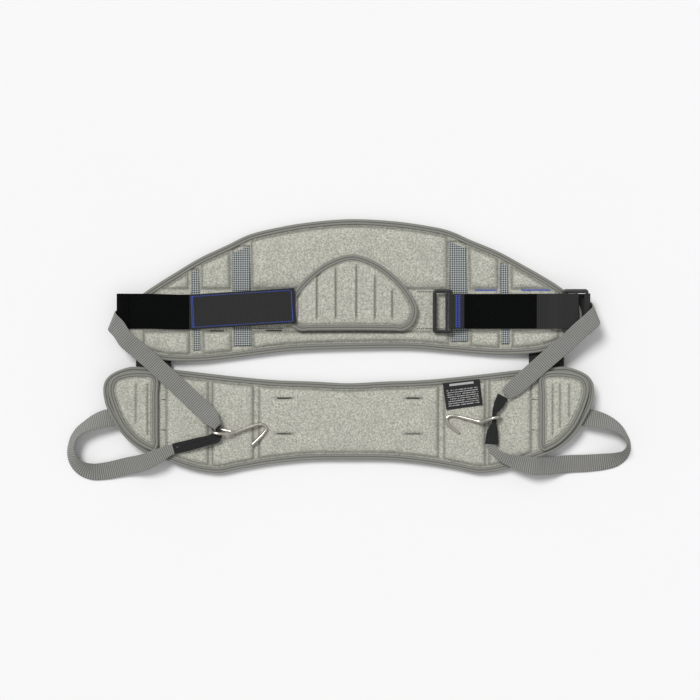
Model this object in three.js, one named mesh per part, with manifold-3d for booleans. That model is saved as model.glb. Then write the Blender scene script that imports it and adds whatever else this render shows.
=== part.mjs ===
import * as THREE from "three";
import { mergeVertices } from "three/addons/utils/BufferGeometryUtils.js";
import Module from "manifold-3d";

const wasm = await Module();
wasm.setup();
const { Manifold, Mesh } = wasm;

// ---------------------------------------------------------------- driving sizes, mm
const PAD_LENGTH = 668; // upper pad, tip to tip
const PAD_DEPTH = 201.5; // upper pad, top edge to bottom edge
const BELT_WIDTH = 50.8; // black waist belt and link straps
const BELT_THICK = 1.5;
const STRAP_WIDTH = 25.4; // grey drop and loop straps
const STRAP_THICK = 1.4;
const KEEPER_THICK = 0.8;
const CLEARANCE = 0.3; // between any two layers
const SHELL_THICK = 0.8;
const FOAM_THICK = 3; // foam at the flat edges of a pad
const LINING_THICK = 0.7;
const TAPE_THICK = 0.6; // edge binding
const TAPE_COVER = 8; // how far the binding reaches over a pad's face
const PATCH_THICK = 0.7; // hook or pile fastening
const PANEL_RISE = 5; // upper pad's raised foam panels
const SEAT_PANEL_RISE = 4;
const LUMBAR_RISE = 3.5;
const LUMBAR_CHANNEL_DEPTH = 2.6;
const LIFT_START = 150; // the pads lie flat this far from the middle
const LIFT_FULL = 290; // and rise at a steady slope beyond this
const LIFT_SLOPE = 0.12;
const UPPER_TURN = 1.2; // degrees, the upper pad lies slightly turned
const BELT_END_TURN = 3.4; // degrees, the left belt end slants upward
const WIRE_RADIUS = 2.2;
const EYE_HALF_OPENING = 6.3; // hook eye, middle to the wire's centre line

// ---------------------------------------------------------------- heights of the layers
const above = (below) => below + CLEARANCE;
const STRAP_LOW = above(KEEPER_THICK + 0.15);
const BELT_LOW = above(STRAP_LOW + STRAP_THICK);
const BINDING_LOW = above(BELT_LOW + BELT_THICK);
const SHELL_LOW = above(BINDING_LOW + TAPE_THICK);
const FOAM_LOW = above(SHELL_LOW + SHELL_THICK);
const LINING_LOW = above(FOAM_LOW + FOAM_THICK);
const LINING_TOP = LINING_LOW + LINING_THICK;
const BINDING_HIGH = above(LINING_TOP);
const PAD_TOP = BINDING_HIGH + TAPE_THICK;
const PANEL_TOP = LINING_TOP + PANEL_RISE;
const SEAT_PANEL_TOP = LINING_TOP + SEAT_PANEL_RISE;
const FRONT_BELT_LOW = above(PAD_TOP);
const FRONT_BELT_TOP = FRONT_BELT_LOW + BELT_THICK;
const HIP_PATCH_LOW = above(LINING_TOP);
const HIP_LOW = above(Math.max(PAD_TOP, HIP_PATCH_LOW + PATCH_THICK));
const HIP_BODY_LOW = above(HIP_LOW + TAPE_THICK);
const HIP_BODY_TOP = HIP_BODY_LOW + FOAM_THICK;
const HIP_EDGE_TOP = HIP_BODY_TOP + CLEARANCE + TAPE_THICK;
const HIGHEST = 90;

// ---------------------------------------------------------------- plan positions
const LENGTH_RATIO = PAD_LENGTH / 668;
const DEPTH_RATIO = PAD_DEPTH / 201.5;
const across = (x) => x * LENGTH_RATIO;
const deep = (y) => y * DEPTH_RATIO;
const at = ([x, y]) => new THREE.Vector2(across(x), deep(y));

const BELT_MIDDLE = deep(56);
const CHANNEL_LOW = BELT_MIDDLE - BELT_WIDTH / 2 - 2.5; // sunken run for the waist belt
const CHANNEL_HIGH = BELT_MIDDLE + BELT_WIDTH / 2 + 6;
const STRAP_MIDDLE = deep(59); // grey webbing behind the upper pad
const SEAT_STRAP_MIDDLE = deep(-97);
const SEAT_MIDDLE = across(-1.9);
const LUMBAR_MIDDLE = across(2.5);
const UPPER_PIVOT = deep(87);

const UPPER_HALF = [
  [0, 190], [58, 186.5], [103, 180], [145, 170.5], [177, 156], [217, 138], [255, 116],
  [275, 104], [304, 84.5], [328, 62], [334, 45], [330, 25], [305, 1.5], [275, -8.5],
  [223, -11.5], [183, -9], [136, -4], [90, 0.5], [0, 2],
];
const SEAT_HALF = [
  [0, -48.3], [54, -45.7], [103, -44], [157, -39.4], [210, -33.5], [248, -29], [296, -25],
  [316, -24.5], [344, -36], [353, -49], [352, -74], [343, -96], [326, -123], [303, -143],
  [268, -158], [232, -171.5], [207, -177], [188, -178.5], [157, -172.5], [116, -165.5],
  [64, -160], [0, -159],
];
const LUMBAR_HALF = [
  [0, 138.3], [34, 128], [61.6, 108.5], [81, 87.7], [93.5, 65.5], [95, 54.4], [89.3, 37.7],
  [75.5, 28], [60, 28], [0, 28.5],
];
const HIP_OUTLINE = [
  [275.5, -40], [284, -32], [325, -32.5], [341, -41], [346, -56], [340, -82], [326, -111],
  [306, -133], [290, -143], [281, -146], [276, -140], [275.5, -118], [275.5, -66],
];

// ---------------------------------------------------------------- solids
// A three.js surface as a solid that can be joined and cut.
function solid(geometry) {
  const bare = new THREE.BufferGeometry();
  bare.setAttribute("position", geometry.getAttribute("position"));
  if (geometry.index) bare.setIndex(geometry.index);
  const merged = mergeVertices(bare, 1e-4);
  const vertProperties = new Float32Array(merged.getAttribute("position").array);
  const triVerts = new Uint32Array(merged.index.array);
  return Manifold.ofMesh(new Mesh({ numProp: 3, vertProperties, triVerts }));
}

function surface(body) {
  const mesh = body.getMesh();
  const geometry = new THREE.BufferGeometry();
  geometry.setAttribute("position", new THREE.BufferAttribute(mesh.vertProperties, 3));
  geometry.setIndex(new THREE.BufferAttribute(mesh.triVerts, 1));
  geometry.computeVertexNormals();
  return geometry;
}

// The rise of the pads toward their tips, straight between stations.
const LIFT_STATIONS = [0, 150, 185, 220, 255, 290, 345, 430].map(across);
function smoothLift(x) {
  const out = Math.max(Math.abs(x) - across(LIFT_START), 0);
  const bend = across(LIFT_FULL - LIFT_START);
  return out < bend ? (LIFT_SLOPE * out * out) / (2 * bend) : LIFT_SLOPE * (out - bend / 2);
}

function lift(x) {
  const far = Math.min(Math.abs(x), LIFT_STATIONS.at(-1) - 1e-6);
  const n = LIFT_STATIONS.findLastIndex((s) => s <= far);
  const [a, b] = [LIFT_STATIONS[n], LIFT_STATIONS[n + 1]];
  const share = (far - a) / (b - a);
  return smoothLift(a) * (1 - share) + smoothLift(b) * share;
}

// A sheet between two heights that rises toward both tips.
function sheet(low, high) {
  const half = LIFT_STATIONS.slice(1);
  const xs = [...half.toReversed().map((x) => -x), ...half];
  const shape = new THREE.Shape([
    ...xs.map((x) => new THREE.Vector2(x, low + lift(x))),
    ...xs.toReversed().map((x) => new THREE.Vector2(x, high + lift(x))),
  ]);
  const reach = 2 * PAD_DEPTH;
  const geometry = new THREE.ExtrudeGeometry(shape, { depth: 2 * reach, bevelEnabled: false });
  return solid(geometry.translate(0, 0, -reach).rotateX(Math.PI / 2));
}

// The corners of an outline, without points that lie on a straight side.
function corners(points) {
  const n = points.length;
  return points.filter((p, i) => {
    const a = p.clone().sub(points[(i + n - 1) % n]).normalize();
    const b = points[(i + 1) % n].clone().sub(p).normalize();
    return Math.abs(a.cross(b)) > 1e-3;
  });
}

function prism(points, turn = 0) {
  const geometry = new THREE.ExtrudeGeometry(new THREE.Shape(corners(points)), {
    depth: HIGHEST,
    bevelEnabled: false,
  });
  geometry.translate(0, -UPPER_PIVOT, -1).rotateZ(THREE.MathUtils.degToRad(turn));
  return solid(geometry.translate(0, UPPER_PIVOT, 0));
}

// A closed smooth outline through the given points.
function smooth(points, count) {
  const curve = new THREE.CatmullRomCurve3(
    points.map((p) => new THREE.Vector3(p.x, p.y, 0)),
    true,
  );
  return curve.getPoints(count).slice(0, -1).map((p) => new THREE.Vector2(p.x, p.y));
}

function symmetric(half, middle, count) {
  const right = half.map(at);
  const left = right.slice(1, -1).toReversed().map((p) => new THREE.Vector2(-p.x, p.y));
  const moved = [...right, ...left].map((p) => new THREE.Vector2(p.x + middle, p.y));
  return smooth(moved, count);
}

// How far a point is from a closed outline.
function nearest(points, p) {
  const distances = points.map((a, i) => {
    const side = points[(i + 1) % points.length].clone().sub(a);
    const share = THREE.MathUtils.clamp(p.clone().sub(a).dot(side) / side.lengthSq(), 0, 1);
    return a.clone().addScaledVector(side, share).distanceTo(p);
  });
  return Math.min(...distances);
}

// The outline moved inward by a distance; points that crowd past a tight corner are left out.
function inset(points, distance) {
  const n = points.length;
  const turn = Math.sign(THREE.ShapeUtils.area(points));
  const course = points.map((_, i) => points[(i + 1) % n].clone().sub(points[(i + n - 1) % n]));
  const moved = points.map((p, i) => {
    const along = course[i].clone().normalize();
    return new THREE.Vector2(p.x - turn * along.y * distance, p.y + turn * along.x * distance);
  });
  return moved.filter((p, i) => {
    const onward = moved[(i + 1) % n].clone().sub(moved[(i + n - 1) % n]);
    return onward.dot(course[i]) > 0 && nearest(points, p) > 0.95 * distance;
  });
}

const rectangle = (x0, x1, y0, y1) => [
  new THREE.Vector2(x0, y0),
  new THREE.Vector2(x1, y0),
  new THREE.Vector2(x1, y1),
  new THREE.Vector2(x0, y1),
];

function layer(points, low, high, turn = 0) {
  return prism(points, turn).intersect(sheet(low, high));
}

// A folded edge tape: a wall around the outline with a flange above and below.
function binding(points, low, high, turn = 0) {
  const whole = layer(points, low, high, turn);
  const inside = layer(inset(points, TAPE_THICK), low + TAPE_THICK, high - TAPE_THICK, turn);
  return whole.subtract(inside).subtract(prism(inset(points, TAPE_COVER), turn));
}

// A flat band swept along a curve. Each row is x, y, z, width, thickness, tilt in degrees.
function band(rows, steps, side = null) {
  const curve = new THREE.CatmullRomCurve3(rows.map((r) => new THREE.Vector3(...r)));
  const geometry = new THREE.BoxGeometry(1, 1, 1, steps, 1, 1);
  const position = geometry.getAttribute("position");
  const corner = new THREE.Vector3();
  for (let i = 0; i < position.count; i++) {
    corner.fromBufferAttribute(position, i);
    const t = THREE.MathUtils.clamp(corner.x + 0.5, 0, 1);
    const p = curve.getPoint(t);
    const [width, thick, tilt] = [3, 4, 5].map((k) => between(rows, t, k));
    const [w, n] = bandFrame(curve, t, THREE.MathUtils.degToRad(tilt), side);
    p.addScaledVector(w, corner.y * width).addScaledVector(n, corner.z * thick);
    position.setXYZ(i, p.x, p.y, p.z);
  }
  return solid(geometry);
}

function between(rows, t, k) {
  const place = t * (rows.length - 1);
  const n = Math.min(Math.floor(place), rows.length - 2);
  return THREE.MathUtils.lerp(rows[n][k], rows[n + 1][k], place - n);
}

function bandFrame(curve, t, tilt, side) {
  const along = curve.getTangent(t);
  const level = side ? side.clone() : new THREE.Vector3(0, 0, 1).cross(along);
  level.addScaledVector(along, -level.dot(along)).normalize();
  const up = along.clone().cross(level);
  const w = level.clone().multiplyScalar(Math.cos(tilt)).addScaledVector(up, Math.sin(tilt));
  return [w, along.clone().cross(w)];
}

// A band whose side is across the belts, following points in the X-Z plane.
function foldedBelt(points, middle, width, thick) {
  const wide = [];
  const narrow = [];
  points.forEach((p, i) => {
    const before = points[Math.max(i - 1, 0)];
    const after = points[Math.min(i + 1, points.length - 1)];
    const a = p.clone().sub(before).normalize();
    const b = after.clone().sub(p).normalize();
    const along = a.add(b).normalize();
    const normal = new THREE.Vector2(-along.y, along.x);
    wide.push(p.clone().addScaledVector(normal, thick / 2));
    narrow.unshift(p.clone().addScaledVector(normal, -thick / 2));
  });
  const shape = new THREE.Shape([...wide, ...narrow]);
  const geometry = new THREE.ExtrudeGeometry(shape, { depth: width, bevelEnabled: false });
  return solid(geometry.translate(0, 0, -middle - width / 2).rotateX(Math.PI / 2));
}

// Points of an arc in the X-Z plane, angles in degrees.
function arc(x, z, radius, from, to, count) {
  return Array.from({ length: count + 1 }, (_, i) => {
    const a = THREE.MathUtils.degToRad(THREE.MathUtils.lerp(from, to, i / count));
    return new THREE.Vector2(x + radius * Math.cos(a), z + radius * Math.sin(a));
  });
}

const v2 = (x, z) => new THREE.Vector2(x, z);

// ---------------------------------------------------------------- finished pieces
const group = new THREE.Group();
function add(name, body, colour, roughness = 0.9, metalness = 0) {
  const [r, g, b] = colour.map((c) => c / 255);
  const tint = new THREE.Color().setRGB(r, g, b, THREE.SRGBColorSpace);
  const material = new THREE.MeshStandardMaterial({ color: tint, roughness, metalness });
  const mesh = new THREE.Mesh(surface(body), material);
  mesh.name = name;
  group.add(mesh);
}

const VELOUR = [192, 192, 181];
const TAPE = [128, 129, 121];
const GREY_WEB = [134, 136, 131];
const MESH_FABRIC = [80, 85, 92];
const BLACK_WEB = [30, 30, 32];
const PATCH = [24, 24, 27];
const PLASTIC = [18, 18, 20];
const STEEL = [190, 182, 168];
const SHELL = [40, 41, 43];

// ---------------------------------------------------------------- the two pads
const UPPER = symmetric(UPPER_HALF, 0, 64);
const LOWER = symmetric(SEAT_HALF, SEAT_MIDDLE, 64);
const LUMBAR = symmetric(LUMBAR_HALF, LUMBAR_MIDDLE, 36);
const LAYER_INSET = TAPE_THICK + CLEARANCE;
const PANEL_INSET = TAPE_COVER + 4;

// Windows of the upper pad's vent strips, right side: inner and outer X, low Y, two high Ys.
const VENTS = {
  inner: [145, 169.5, 9, 154, 144],
  outer: [219, 229, 4, 122, 117],
};

function ventOutline([x0, x1, y0, high0, high1], side, grow) {
  const [near, far] = [across(x0) - grow, across(x1) + grow];
  const points = [
    v2(side * near, deep(y0) - grow),
    v2(side * far, deep(y0) - grow),
    v2(side * far, deep(high1) + grow),
    v2(side * near, deep(high0) + grow),
  ];
  return side > 0 ? points : points.toReversed();
}

// Raised panels: their X ranges inside the pad's inset outline.
function upperPanels() {
  const panels = [[across(-141), across(141)]];
  for (const side of [-1, 1]) {
    for (const [x0, x1] of [[175, 213], [235, 300]]) {
      panels.push([side * across(x0), side * across(x1)].sort((a, b) => a - b));
    }
  }
  return panels;
}

function seatPanels() {
  const panels = [[-130, 130]];
  for (const side of [-1, 1]) {
    for (const [x0, x1] of [[138, 198], [203.5, 264]]) {
      panels.push([side * x0, side * x1].sort((a, b) => a - b));
    }
  }
  return panels.map(([x0, x1]) => [SEAT_MIDDLE + across(x0), SEAT_MIDDLE + across(x1)]);
}

// Foam panels standing on a pad, grown outward by a distance and up to a height.
function raised(outline, panels, grow, low, high, turn) {
  const field = layer(inset(outline, PANEL_INSET - grow), low, high, turn);
  const reach = 2 * PAD_DEPTH;
  const blocks = panels.map(([x0, x1]) =>
    prism(rectangle(x0 - grow, x1 + grow, -reach, reach), turn),
  );
  const run = rectangle(-PAD_LENGTH, PAD_LENGTH, CHANNEL_LOW + grow, CHANNEL_HIGH - grow);
  return field.intersect(Manifold.union(blocks)).subtract(prism(run));
}

function pad(prefix, outline, panels, rise, turn, windows) {
  const body = inset(outline, LAYER_INSET);
  add(`${prefix}_outer_shell`, layer(body, SHELL_LOW, SHELL_LOW + SHELL_THICK, turn), SHELL);
  const base = layer(body, FOAM_LOW, FOAM_LOW + FOAM_THICK, turn);
  const foamTop = FOAM_LOW + FOAM_THICK + rise;
  const bumps = raised(outline, panels, 0, FOAM_LOW + 1, foamTop, turn);
  add(`${prefix}_foam_core`, base.add(bumps), [226, 222, 208], 0.95);
  const skin = layer(body, LINING_LOW, LINING_TOP, turn);
  const cover = CLEARANCE + LINING_THICK;
  const outside = raised(outline, panels, cover, LINING_LOW, LINING_TOP + rise, turn);
  const hollow = raised(outline, panels, CLEARANCE, 0, foamTop + CLEARANCE, turn);
  let lining = skin.add(outside).subtract(hollow);
  for (const window of windows) lining = lining.subtract(prism(window, turn));
  add(`${prefix}_lining`, lining, VELOUR, 0.95);
  const edge = binding(outline, BINDING_LOW, PAD_TOP, turn);
  add(`${prefix}_edge_binding`, edge, TAPE);
}

function kidneyPad() {
  const windows = [];
  for (const [place, window] of Object.entries(VENTS)) {
    for (const [side, hand] of [[-1, "left"], [1, "right"]]) {
      windows.push(ventOutline(window, side, CLEARANCE));
      const strip = layer(ventOutline(window, side, 0), LINING_LOW, LINING_TOP, UPPER_TURN);
      add(`${hand}_${place}_vent_mesh`, strip, MESH_FABRIC);
    }
  }
  pad("kidney", UPPER, upperPanels(), PANEL_RISE, UPPER_TURN, windows);
}

// ---------------------------------------------------------------- webbing behind the pads
const TIP_X = across(334); // the upper pad's tips
const BACK_END = across(318);

function backWebbing() {
  const belt = rectangle(
    -BACK_END,
    BACK_END,
    BELT_MIDDLE - BELT_WIDTH / 2,
    BELT_MIDDLE + BELT_WIDTH / 2,
  );
  add("waist_belt_back", layer(belt, BELT_LOW, BELT_LOW + BELT_THICK), BLACK_WEB);
  for (const [name, middle, end] of [
    ["back_webbing_kidney", STRAP_MIDDLE, BACK_END],
    ["back_webbing_seat", SEAT_STRAP_MIDDLE, across(326)],
  ]) {
    const run = rectangle(-end, end, middle - STRAP_WIDTH / 2, middle + STRAP_WIDTH / 2);
    add(name, layer(run, STRAP_LOW, STRAP_LOW + STRAP_THICK), GREY_WEB);
  }
}

// Short loops sewn to a shell that hold the webbing against it.
const KEEPER_FOOT = deep(8);
const KEEPER_RISE_RUN = 3;
function keeper(x, low, high) {
  const foot = BINDING_LOW - CLEARANCE / 2;
  const mid = KEEPER_THICK / 2 + 0.12;
  const side = new THREE.Vector3(1, 0, (lift(x + 1) - lift(x - 1)) / 2);
  const path = [
    [low - KEEPER_FOOT - KEEPER_RISE_RUN, foot],
    [low - KEEPER_RISE_RUN, foot],
    [low, mid],
    [high, mid],
    [high + KEEPER_RISE_RUN, foot],
    [high + KEEPER_FOOT + KEEPER_RISE_RUN, foot],
  ];
  const rows = path.map(([y, z]) => [x, y, z + lift(x), STRAP_WIDTH, KEEPER_THICK, 0]);
  const pieces = rows.slice(1).map((row, i) => straight(rows[i], row, side));
  return Manifold.union(pieces);
}

// A straight length of band, run slightly past both ends so that lengths join.
function straight(from, to, side) {
  const a = new THREE.Vector3(...from);
  const b = new THREE.Vector3(...to);
  const past = b.clone().sub(a).setLength(from[4] / 3);
  a.sub(past);
  b.add(past);
  const ends = [a, b].map((p) => [p.x, p.y, p.z, ...from.slice(3)]);
  return band(ends, 1, side);
}

function keepers() {
  const spots = [-235, -125, 0, 125, 235];
  spots.forEach((x, i) => {
    const half = BELT_WIDTH / 2 + CLEARANCE + 1;
    const body = keeper(across(x), BELT_MIDDLE - half, BELT_MIDDLE + half);
    add(`belt_keeper_${i + 1}`, body, BLACK_WEB);
  });
  [-235, -80, 80, 235].forEach((x, i) => {
    const half = STRAP_WIDTH / 2 + CLEARANCE + 1;
    const body = keeper(across(x), SEAT_STRAP_MIDDLE - half, SEAT_STRAP_MIDDLE + half);
    add(`strap_keeper_${i + 1}`, body, BLACK_WEB);
  });
}

function linkStraps() {
  for (const [side, hand] of [[-1, "left"], [1, "right"]]) {
    const xs = [side * across(285) - BELT_WIDTH / 2, side * across(285) + BELT_WIDTH / 2];
    const top = BELT_MIDDLE - BELT_WIDTH / 2 - 6;
    const strip = layer(rectangle(...xs, deep(-62), top), BELT_LOW, BELT_LOW + BELT_THICK);
    add(`${hand}_link_strap`, strip, BLACK_WEB);
  }
}

// ---------------------------------------------------------------- left end of the waist belt
const TAIL_START = across(-233);
const TAIL_END = across(-78.7);
const FOLD_TUCK = 0.85; // share of its radius by which the fold's middle sits inside the tip

function leftBelt() {
  const back = BELT_LOW + BELT_THICK / 2;
  const front = FRONT_BELT_LOW + BELT_THICK / 2;
  const radius = (front - back) / 2;
  const centre = TIP_X + BELT_THICK / 2 + 5 * CLEARANCE - FOLD_TUCK * radius;
  const gap = CLEARANCE / 2;
  const turnZ = (back + front) / 2 + lift(centre);
  const folded = foldedBelt(
    [
      v2(-BACK_END - gap, back + lift(BACK_END)),
      ...arc(-centre, turnZ, radius, 270, 90, 10),
      v2(-BACK_END - gap, front + lift(BACK_END)),
    ],
    BELT_MIDDLE,
    BELT_WIDTH,
    BELT_THICK,
  );
  add("left_belt_fold", folded, BLACK_WEB);
  const turn = Math.tan(THREE.MathUtils.degToRad(BELT_END_TURN));
  const rise = LUMBAR_TOP + CLEARANCE + BELT_THICK / 2;
  const start = BELT_MIDDLE - 1;
  const tail = [
    [-BACK_END + gap, BELT_MIDDLE, front + lift(BACK_END)],
    [across(-290), BELT_MIDDLE, front + lift(across(290))],
    [across(-255), start, front + lift(across(255))],
    [TAIL_START, start, front + lift(TAIL_START) + 1],
    [across(-170), start - turn * (TAIL_START - across(-170)), front + 6],
    [across(-120), start - turn * (TAIL_START - across(-120)), rise - 0.5],
    [TAIL_END, start - turn * (TAIL_START - TAIL_END), rise + 0.6],
  ];
  const rows = tail.map((r) => [...r, BELT_WIDTH, BELT_THICK, 0]);
  add("left_belt_tail", band(rows, 18), BLACK_WEB);
  return rows;
}

// Fastening laid on a stretch of a belt: the same band, thinner, moved along its normal.
function bandPatch(rows, from, to, offset, width) {
  const patch = rows.slice(from, to).map((r) => [
    r[0],
    r[1],
    r[2] + offset,
    width,
    PATCH_THICK,
    r[5],
  ]);
  return band(patch, 3 * (patch.length - 1));
}

// ---------------------------------------------------------------- lumbar pad
const LUMBAR_PATCH_LOW = above(PANEL_TOP);
const LUMBAR_LOW = above(PANEL_TOP);
const LUMBAR_BODY_LOW = above(LUMBAR_LOW + PATCH_THICK);
const LUMBAR_BODY_TOP = LUMBAR_BODY_LOW + FOAM_THICK + 0.8;
const LUMBAR_TOP = LUMBAR_BODY_TOP + LUMBAR_RISE;
const LUMBAR_CHANNELS = [
  [-75.5, 80], [-47.7, 109], [-20.5, 119], [9.3, 123], [36.2, 107], [61.2, 87],
];
const CHANNEL_WIDTH = 8.5;

function lumbarPad() {
  const body = inset(LUMBAR, LAYER_INSET);
  const slab = layer(body, LUMBAR_BODY_LOW, LUMBAR_BODY_TOP);
  const bump = layer(inset(LUMBAR, TAPE_COVER + 1), LUMBAR_BODY_LOW + 1, LUMBAR_TOP);
  const cuts = LUMBAR_CHANNELS.map(([x, high]) => {
    const middle = LUMBAR_MIDDLE + across(x);
    const half = CHANNEL_WIDTH / 2;
    const outline = rectangle(middle - half, middle + half, deep(45), deep(high));
    return layer(outline, LUMBAR_TOP - LUMBAR_CHANNEL_DEPTH, HIGHEST);
  });
  add("lumbar_pad", slab.add(bump).subtract(Manifold.union(cuts)), VELOUR, 0.95);
  const low = LUMBAR_BODY_LOW - CLEARANCE - TAPE_THICK;
  const high = LUMBAR_BODY_TOP + CLEARANCE + TAPE_THICK;
  add("lumbar_binding", binding(LUMBAR, low, high), TAPE);
  const patch = rectangle(
    LUMBAR_MIDDLE - across(44),
    LUMBAR_MIDDLE + across(44),
    CHANNEL_HIGH + 4,
    deep(108),
  );
  add("lumbar_hook_patch", layer(patch, LUMBAR_PATCH_LOW, LUMBAR_PATCH_LOW + PATCH_THICK), PATCH);
}

// ---------------------------------------------------------------- right end of the waist belt
const BAR = 3.4; // thickness of a buckle bar that webbing runs around
const END_LOOP_LENGTH = 27; // end buckle, from its webbing bar to its far edge
const END_BAR_X = across(146.5);
const END_BUCKLE_Z = PANEL_TOP + 5;
const SLIDER_X = across(325); // centre bar of the tip slider
const SLIDER_Z = FRONT_BELT_LOW + BAR + 3;
const BEHIND_BAR = 22; // from the slider's centre bar to behind its inner bar
const PLY = BELT_THICK + CLEARANCE;

function rightBelt() {
  const around = BAR * Math.SQRT1_2 + CLEARANCE + BELT_THICK / 2;
  const sliderZ = SLIDER_Z + lift(SLIDER_X);
  const low = FRONT_BELT_LOW + BELT_THICK / 2;
  const high = low + PLY;
  const path = [
    v2(across(172), low + 0.6 + lift(across(172))),
    v2(across(157), END_BUCKLE_Z - around - 0.4),
    ...arc(END_BAR_X, END_BUCKLE_Z, around, 300, 60, 8),
    v2(across(158), END_BUCKLE_Z + 1.2),
    v2(across(176), high + 0.6 + lift(across(176))),
    ...[185, 220, 255].map((x) => v2(across(x), high + lift(across(x)))),
    v2(across(285), high + 0.4 + lift(across(285))),
    v2(SLIDER_X - BEHIND_BAR, sliderZ + around - BEHIND_BAR * LIFT_SLOPE),
    ...arc(SLIDER_X, sliderZ, around, 97, -83, 8),
    v2(SLIDER_X - BEHIND_BAR, sliderZ - around - BEHIND_BAR * LIFT_SLOPE),
    v2(across(288), low + 0.3 + lift(across(288))),
    v2(across(272), low + 0.1 + lift(across(272))),
  ];
  add("right_belt_tail", foldedBelt(path, BELT_MIDDLE, BELT_WIDTH, BELT_THICK), BLACK_WEB);
  const top = high + BELT_THICK / 2 + CLEARANCE + 0.1;
  const patch = rectangle(
    across(186),
    across(274),
    BELT_MIDDLE - BELT_WIDTH / 2 + 2,
    BELT_MIDDLE + BELT_WIDTH / 2 - 2,
  );
  add("right_belt_pile_patch", layer(patch, top, top + PATCH_THICK), PATCH);
}

function roundedRectangle(x0, x1, y0, y1, r) {
  const corners = [[x1 - r, y0 + r], [x1 - r, y1 - r], [x0 + r, y1 - r], [x0 + r, y0 + r]];
  return corners.flatMap(([x, y], i) => arc(x, y, r, 90 * i - 90, 90 * i, 3));
}

// A flat moulded frame with slots cut through it, tipped to follow the pad's rise.
function frame(bounds, slots, place, slope, rounding) {
  const middle = (bounds[0] + bounds[1]) / 2;
  const set = (points, depth) => {
    const geometry = new THREE.ExtrudeGeometry(new THREE.Shape(points), {
      depth,
      bevelEnabled: false,
    });
    geometry.translate(-middle, 0, -depth / 2).rotateY(-slope);
    return solid(geometry.translate(middle, 0, place));
  };
  const body = set(roundedRectangle(...bounds, rounding), BAR);
  return slots.reduce((left, slot) => left.subtract(set(rectangle(...slot), 3 * BAR)), body);
}

const SLOT_MARGIN = 2; // room beside the webbing inside a buckle
function buckles() {
  const half = BELT_WIDTH / 2 + SLOT_MARGIN;
  const [low, high] = [BELT_MIDDLE - half, BELT_MIDDLE + half];
  const rim = 4.4;
  const bar = END_BAR_X;
  const [left, right] = [bar - END_LOOP_LENGTH, bar + BAR / 2];
  const opening = [left + 5.7, bar - 8.7, low + 2, high - 2];
  const slot = [bar - 5.3, bar - BAR / 2, low, high];
  const outer = [left, right, low - rim, high + rim];
  const end = frame(outer, [opening, slot], END_BUCKLE_Z, 0, 5);
  add("end_loop_buckle", end, PLASTIC, 0.45);
  const slots = [
    [SLIDER_X - 15, SLIDER_X - BAR / 2, low, high],
    [SLIDER_X + BAR / 2, SLIDER_X + 14, low, high],
  ];
  const bounds = [SLIDER_X - 19.5, SLIDER_X + 18, low - rim, high + rim];
  const slider = frame(bounds, slots, SLIDER_Z + lift(SLIDER_X), Math.atan(LIFT_SLOPE), 5);
  add("tip_slider_buckle", slider, PLASTIC, 0.45);
}

// The waist belt's right end, from behind the pad around the slider's outer bar.
function rightFold() {
  const bar = SLIDER_X + 16;
  const slope = LIFT_SLOPE * 16;
  const z = SLIDER_Z + lift(SLIDER_X) + slope;
  const around = 2 + BAR / 2 + CLEARANCE;
  const back = BELT_LOW + BELT_THICK / 2;
  const gap = CLEARANCE / 2;
  const path = [
    v2(BACK_END + gap, back + lift(BACK_END)),
    v2(TIP_X + 1, back + lift(TIP_X) + 0.2),
    v2(bar + 3.2, back + lift(bar) + 3),
    v2(bar + 4.2, z - 3),
    ...arc(bar, z, around, -10, 150, 8),
  ];
  add("right_belt_fold", foldedBelt(path, BELT_MIDDLE, BELT_WIDTH, BELT_THICK), BLACK_WEB);
}

// ---------------------------------------------------------------- grey straps
const PILE_TOP = FRONT_BELT_TOP + CLEARANCE + PATCH_THICK;

// A point given by its plan position and its height above the lower pad's panels.
function onSeat([x, y, gap]) {
  return new THREE.Vector3(across(x), deep(y), SEAT_PANEL_TOP + gap + lift(across(x)));
}

// Rows of a strap's middle line: its point, tilt, and the strap's own size.
function strapRows(points) {
  return points.map((point) => {
    const [tilt = 0, width = STRAP_WIDTH, thick = STRAP_THICK] = point.slice(3);
    return [...onSeat(point).toArray(), width, thick, tilt];
  });
}

// The turn of a grey strap around an upper pad's tip, from the back to the front.
function tipTurn(side, reach, frontZ, end) {
  const back = STRAP_LOW + STRAP_THICK / 2;
  const tip = lift(across(330));
  const startZ = back + lift(BACK_END) + 0.2;
  const rows = [
    [side * (BACK_END + 2) / LENGTH_RATIO, 59, startZ],
    [side * (reach - 8), 57, back + tip],
    [side * (reach - 1.5), 53, back + tip + 2.5],
    [side * reach, 48.5, (back + tip + frontZ) / 2],
    [side * (reach - 1), 44, frontZ - 2.5],
    [side * (reach - 5), 38.5, frontZ],
    end,
  ];
  const points = rows.map(([x, y, z]) => new THREE.Vector3(across(x), deep(y), z));
  const curve = new THREE.CatmullRomCurve3(points);
  const steps = 22;
  const onward = new THREE.Vector3(across(end[3] - end[0]), deep(end[4] - end[1]), 0);
  const last = new THREE.Vector3(0, 0, -side).cross(onward).normalize();
  const first = new THREE.Vector3(0, 1, 0);
  const geometry = new THREE.BoxGeometry(1, 1, 1, steps, 1, 1);
  const position = geometry.getAttribute("position");
  const corner = new THREE.Vector3();
  for (let i = 0; i < position.count; i++) {
    corner.fromBufferAttribute(position, i);
    const t = THREE.MathUtils.clamp(corner.x + 0.5, 0, 1);
    const along = curve.getTangent(t);
    const w = first.clone().lerp(last, THREE.MathUtils.smoothstep(t, 0.3, 1)).normalize();
    w.addScaledVector(along, -w.dot(along) * (1 - t ** 8)).normalize(); // ends cut to meet
    const n = along.clone().cross(w).normalize();
    const p = curve.getPoint(t);
    p.addScaledVector(w, corner.y * STRAP_WIDTH).addScaledVector(n, corner.z * STRAP_THICK);
    position.setXYZ(i, p.x, p.y, p.z);
  }
  const body = solid(geometry);
  return body.volume() < 0 ? solid(flipped(geometry)) : body;
}

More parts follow.
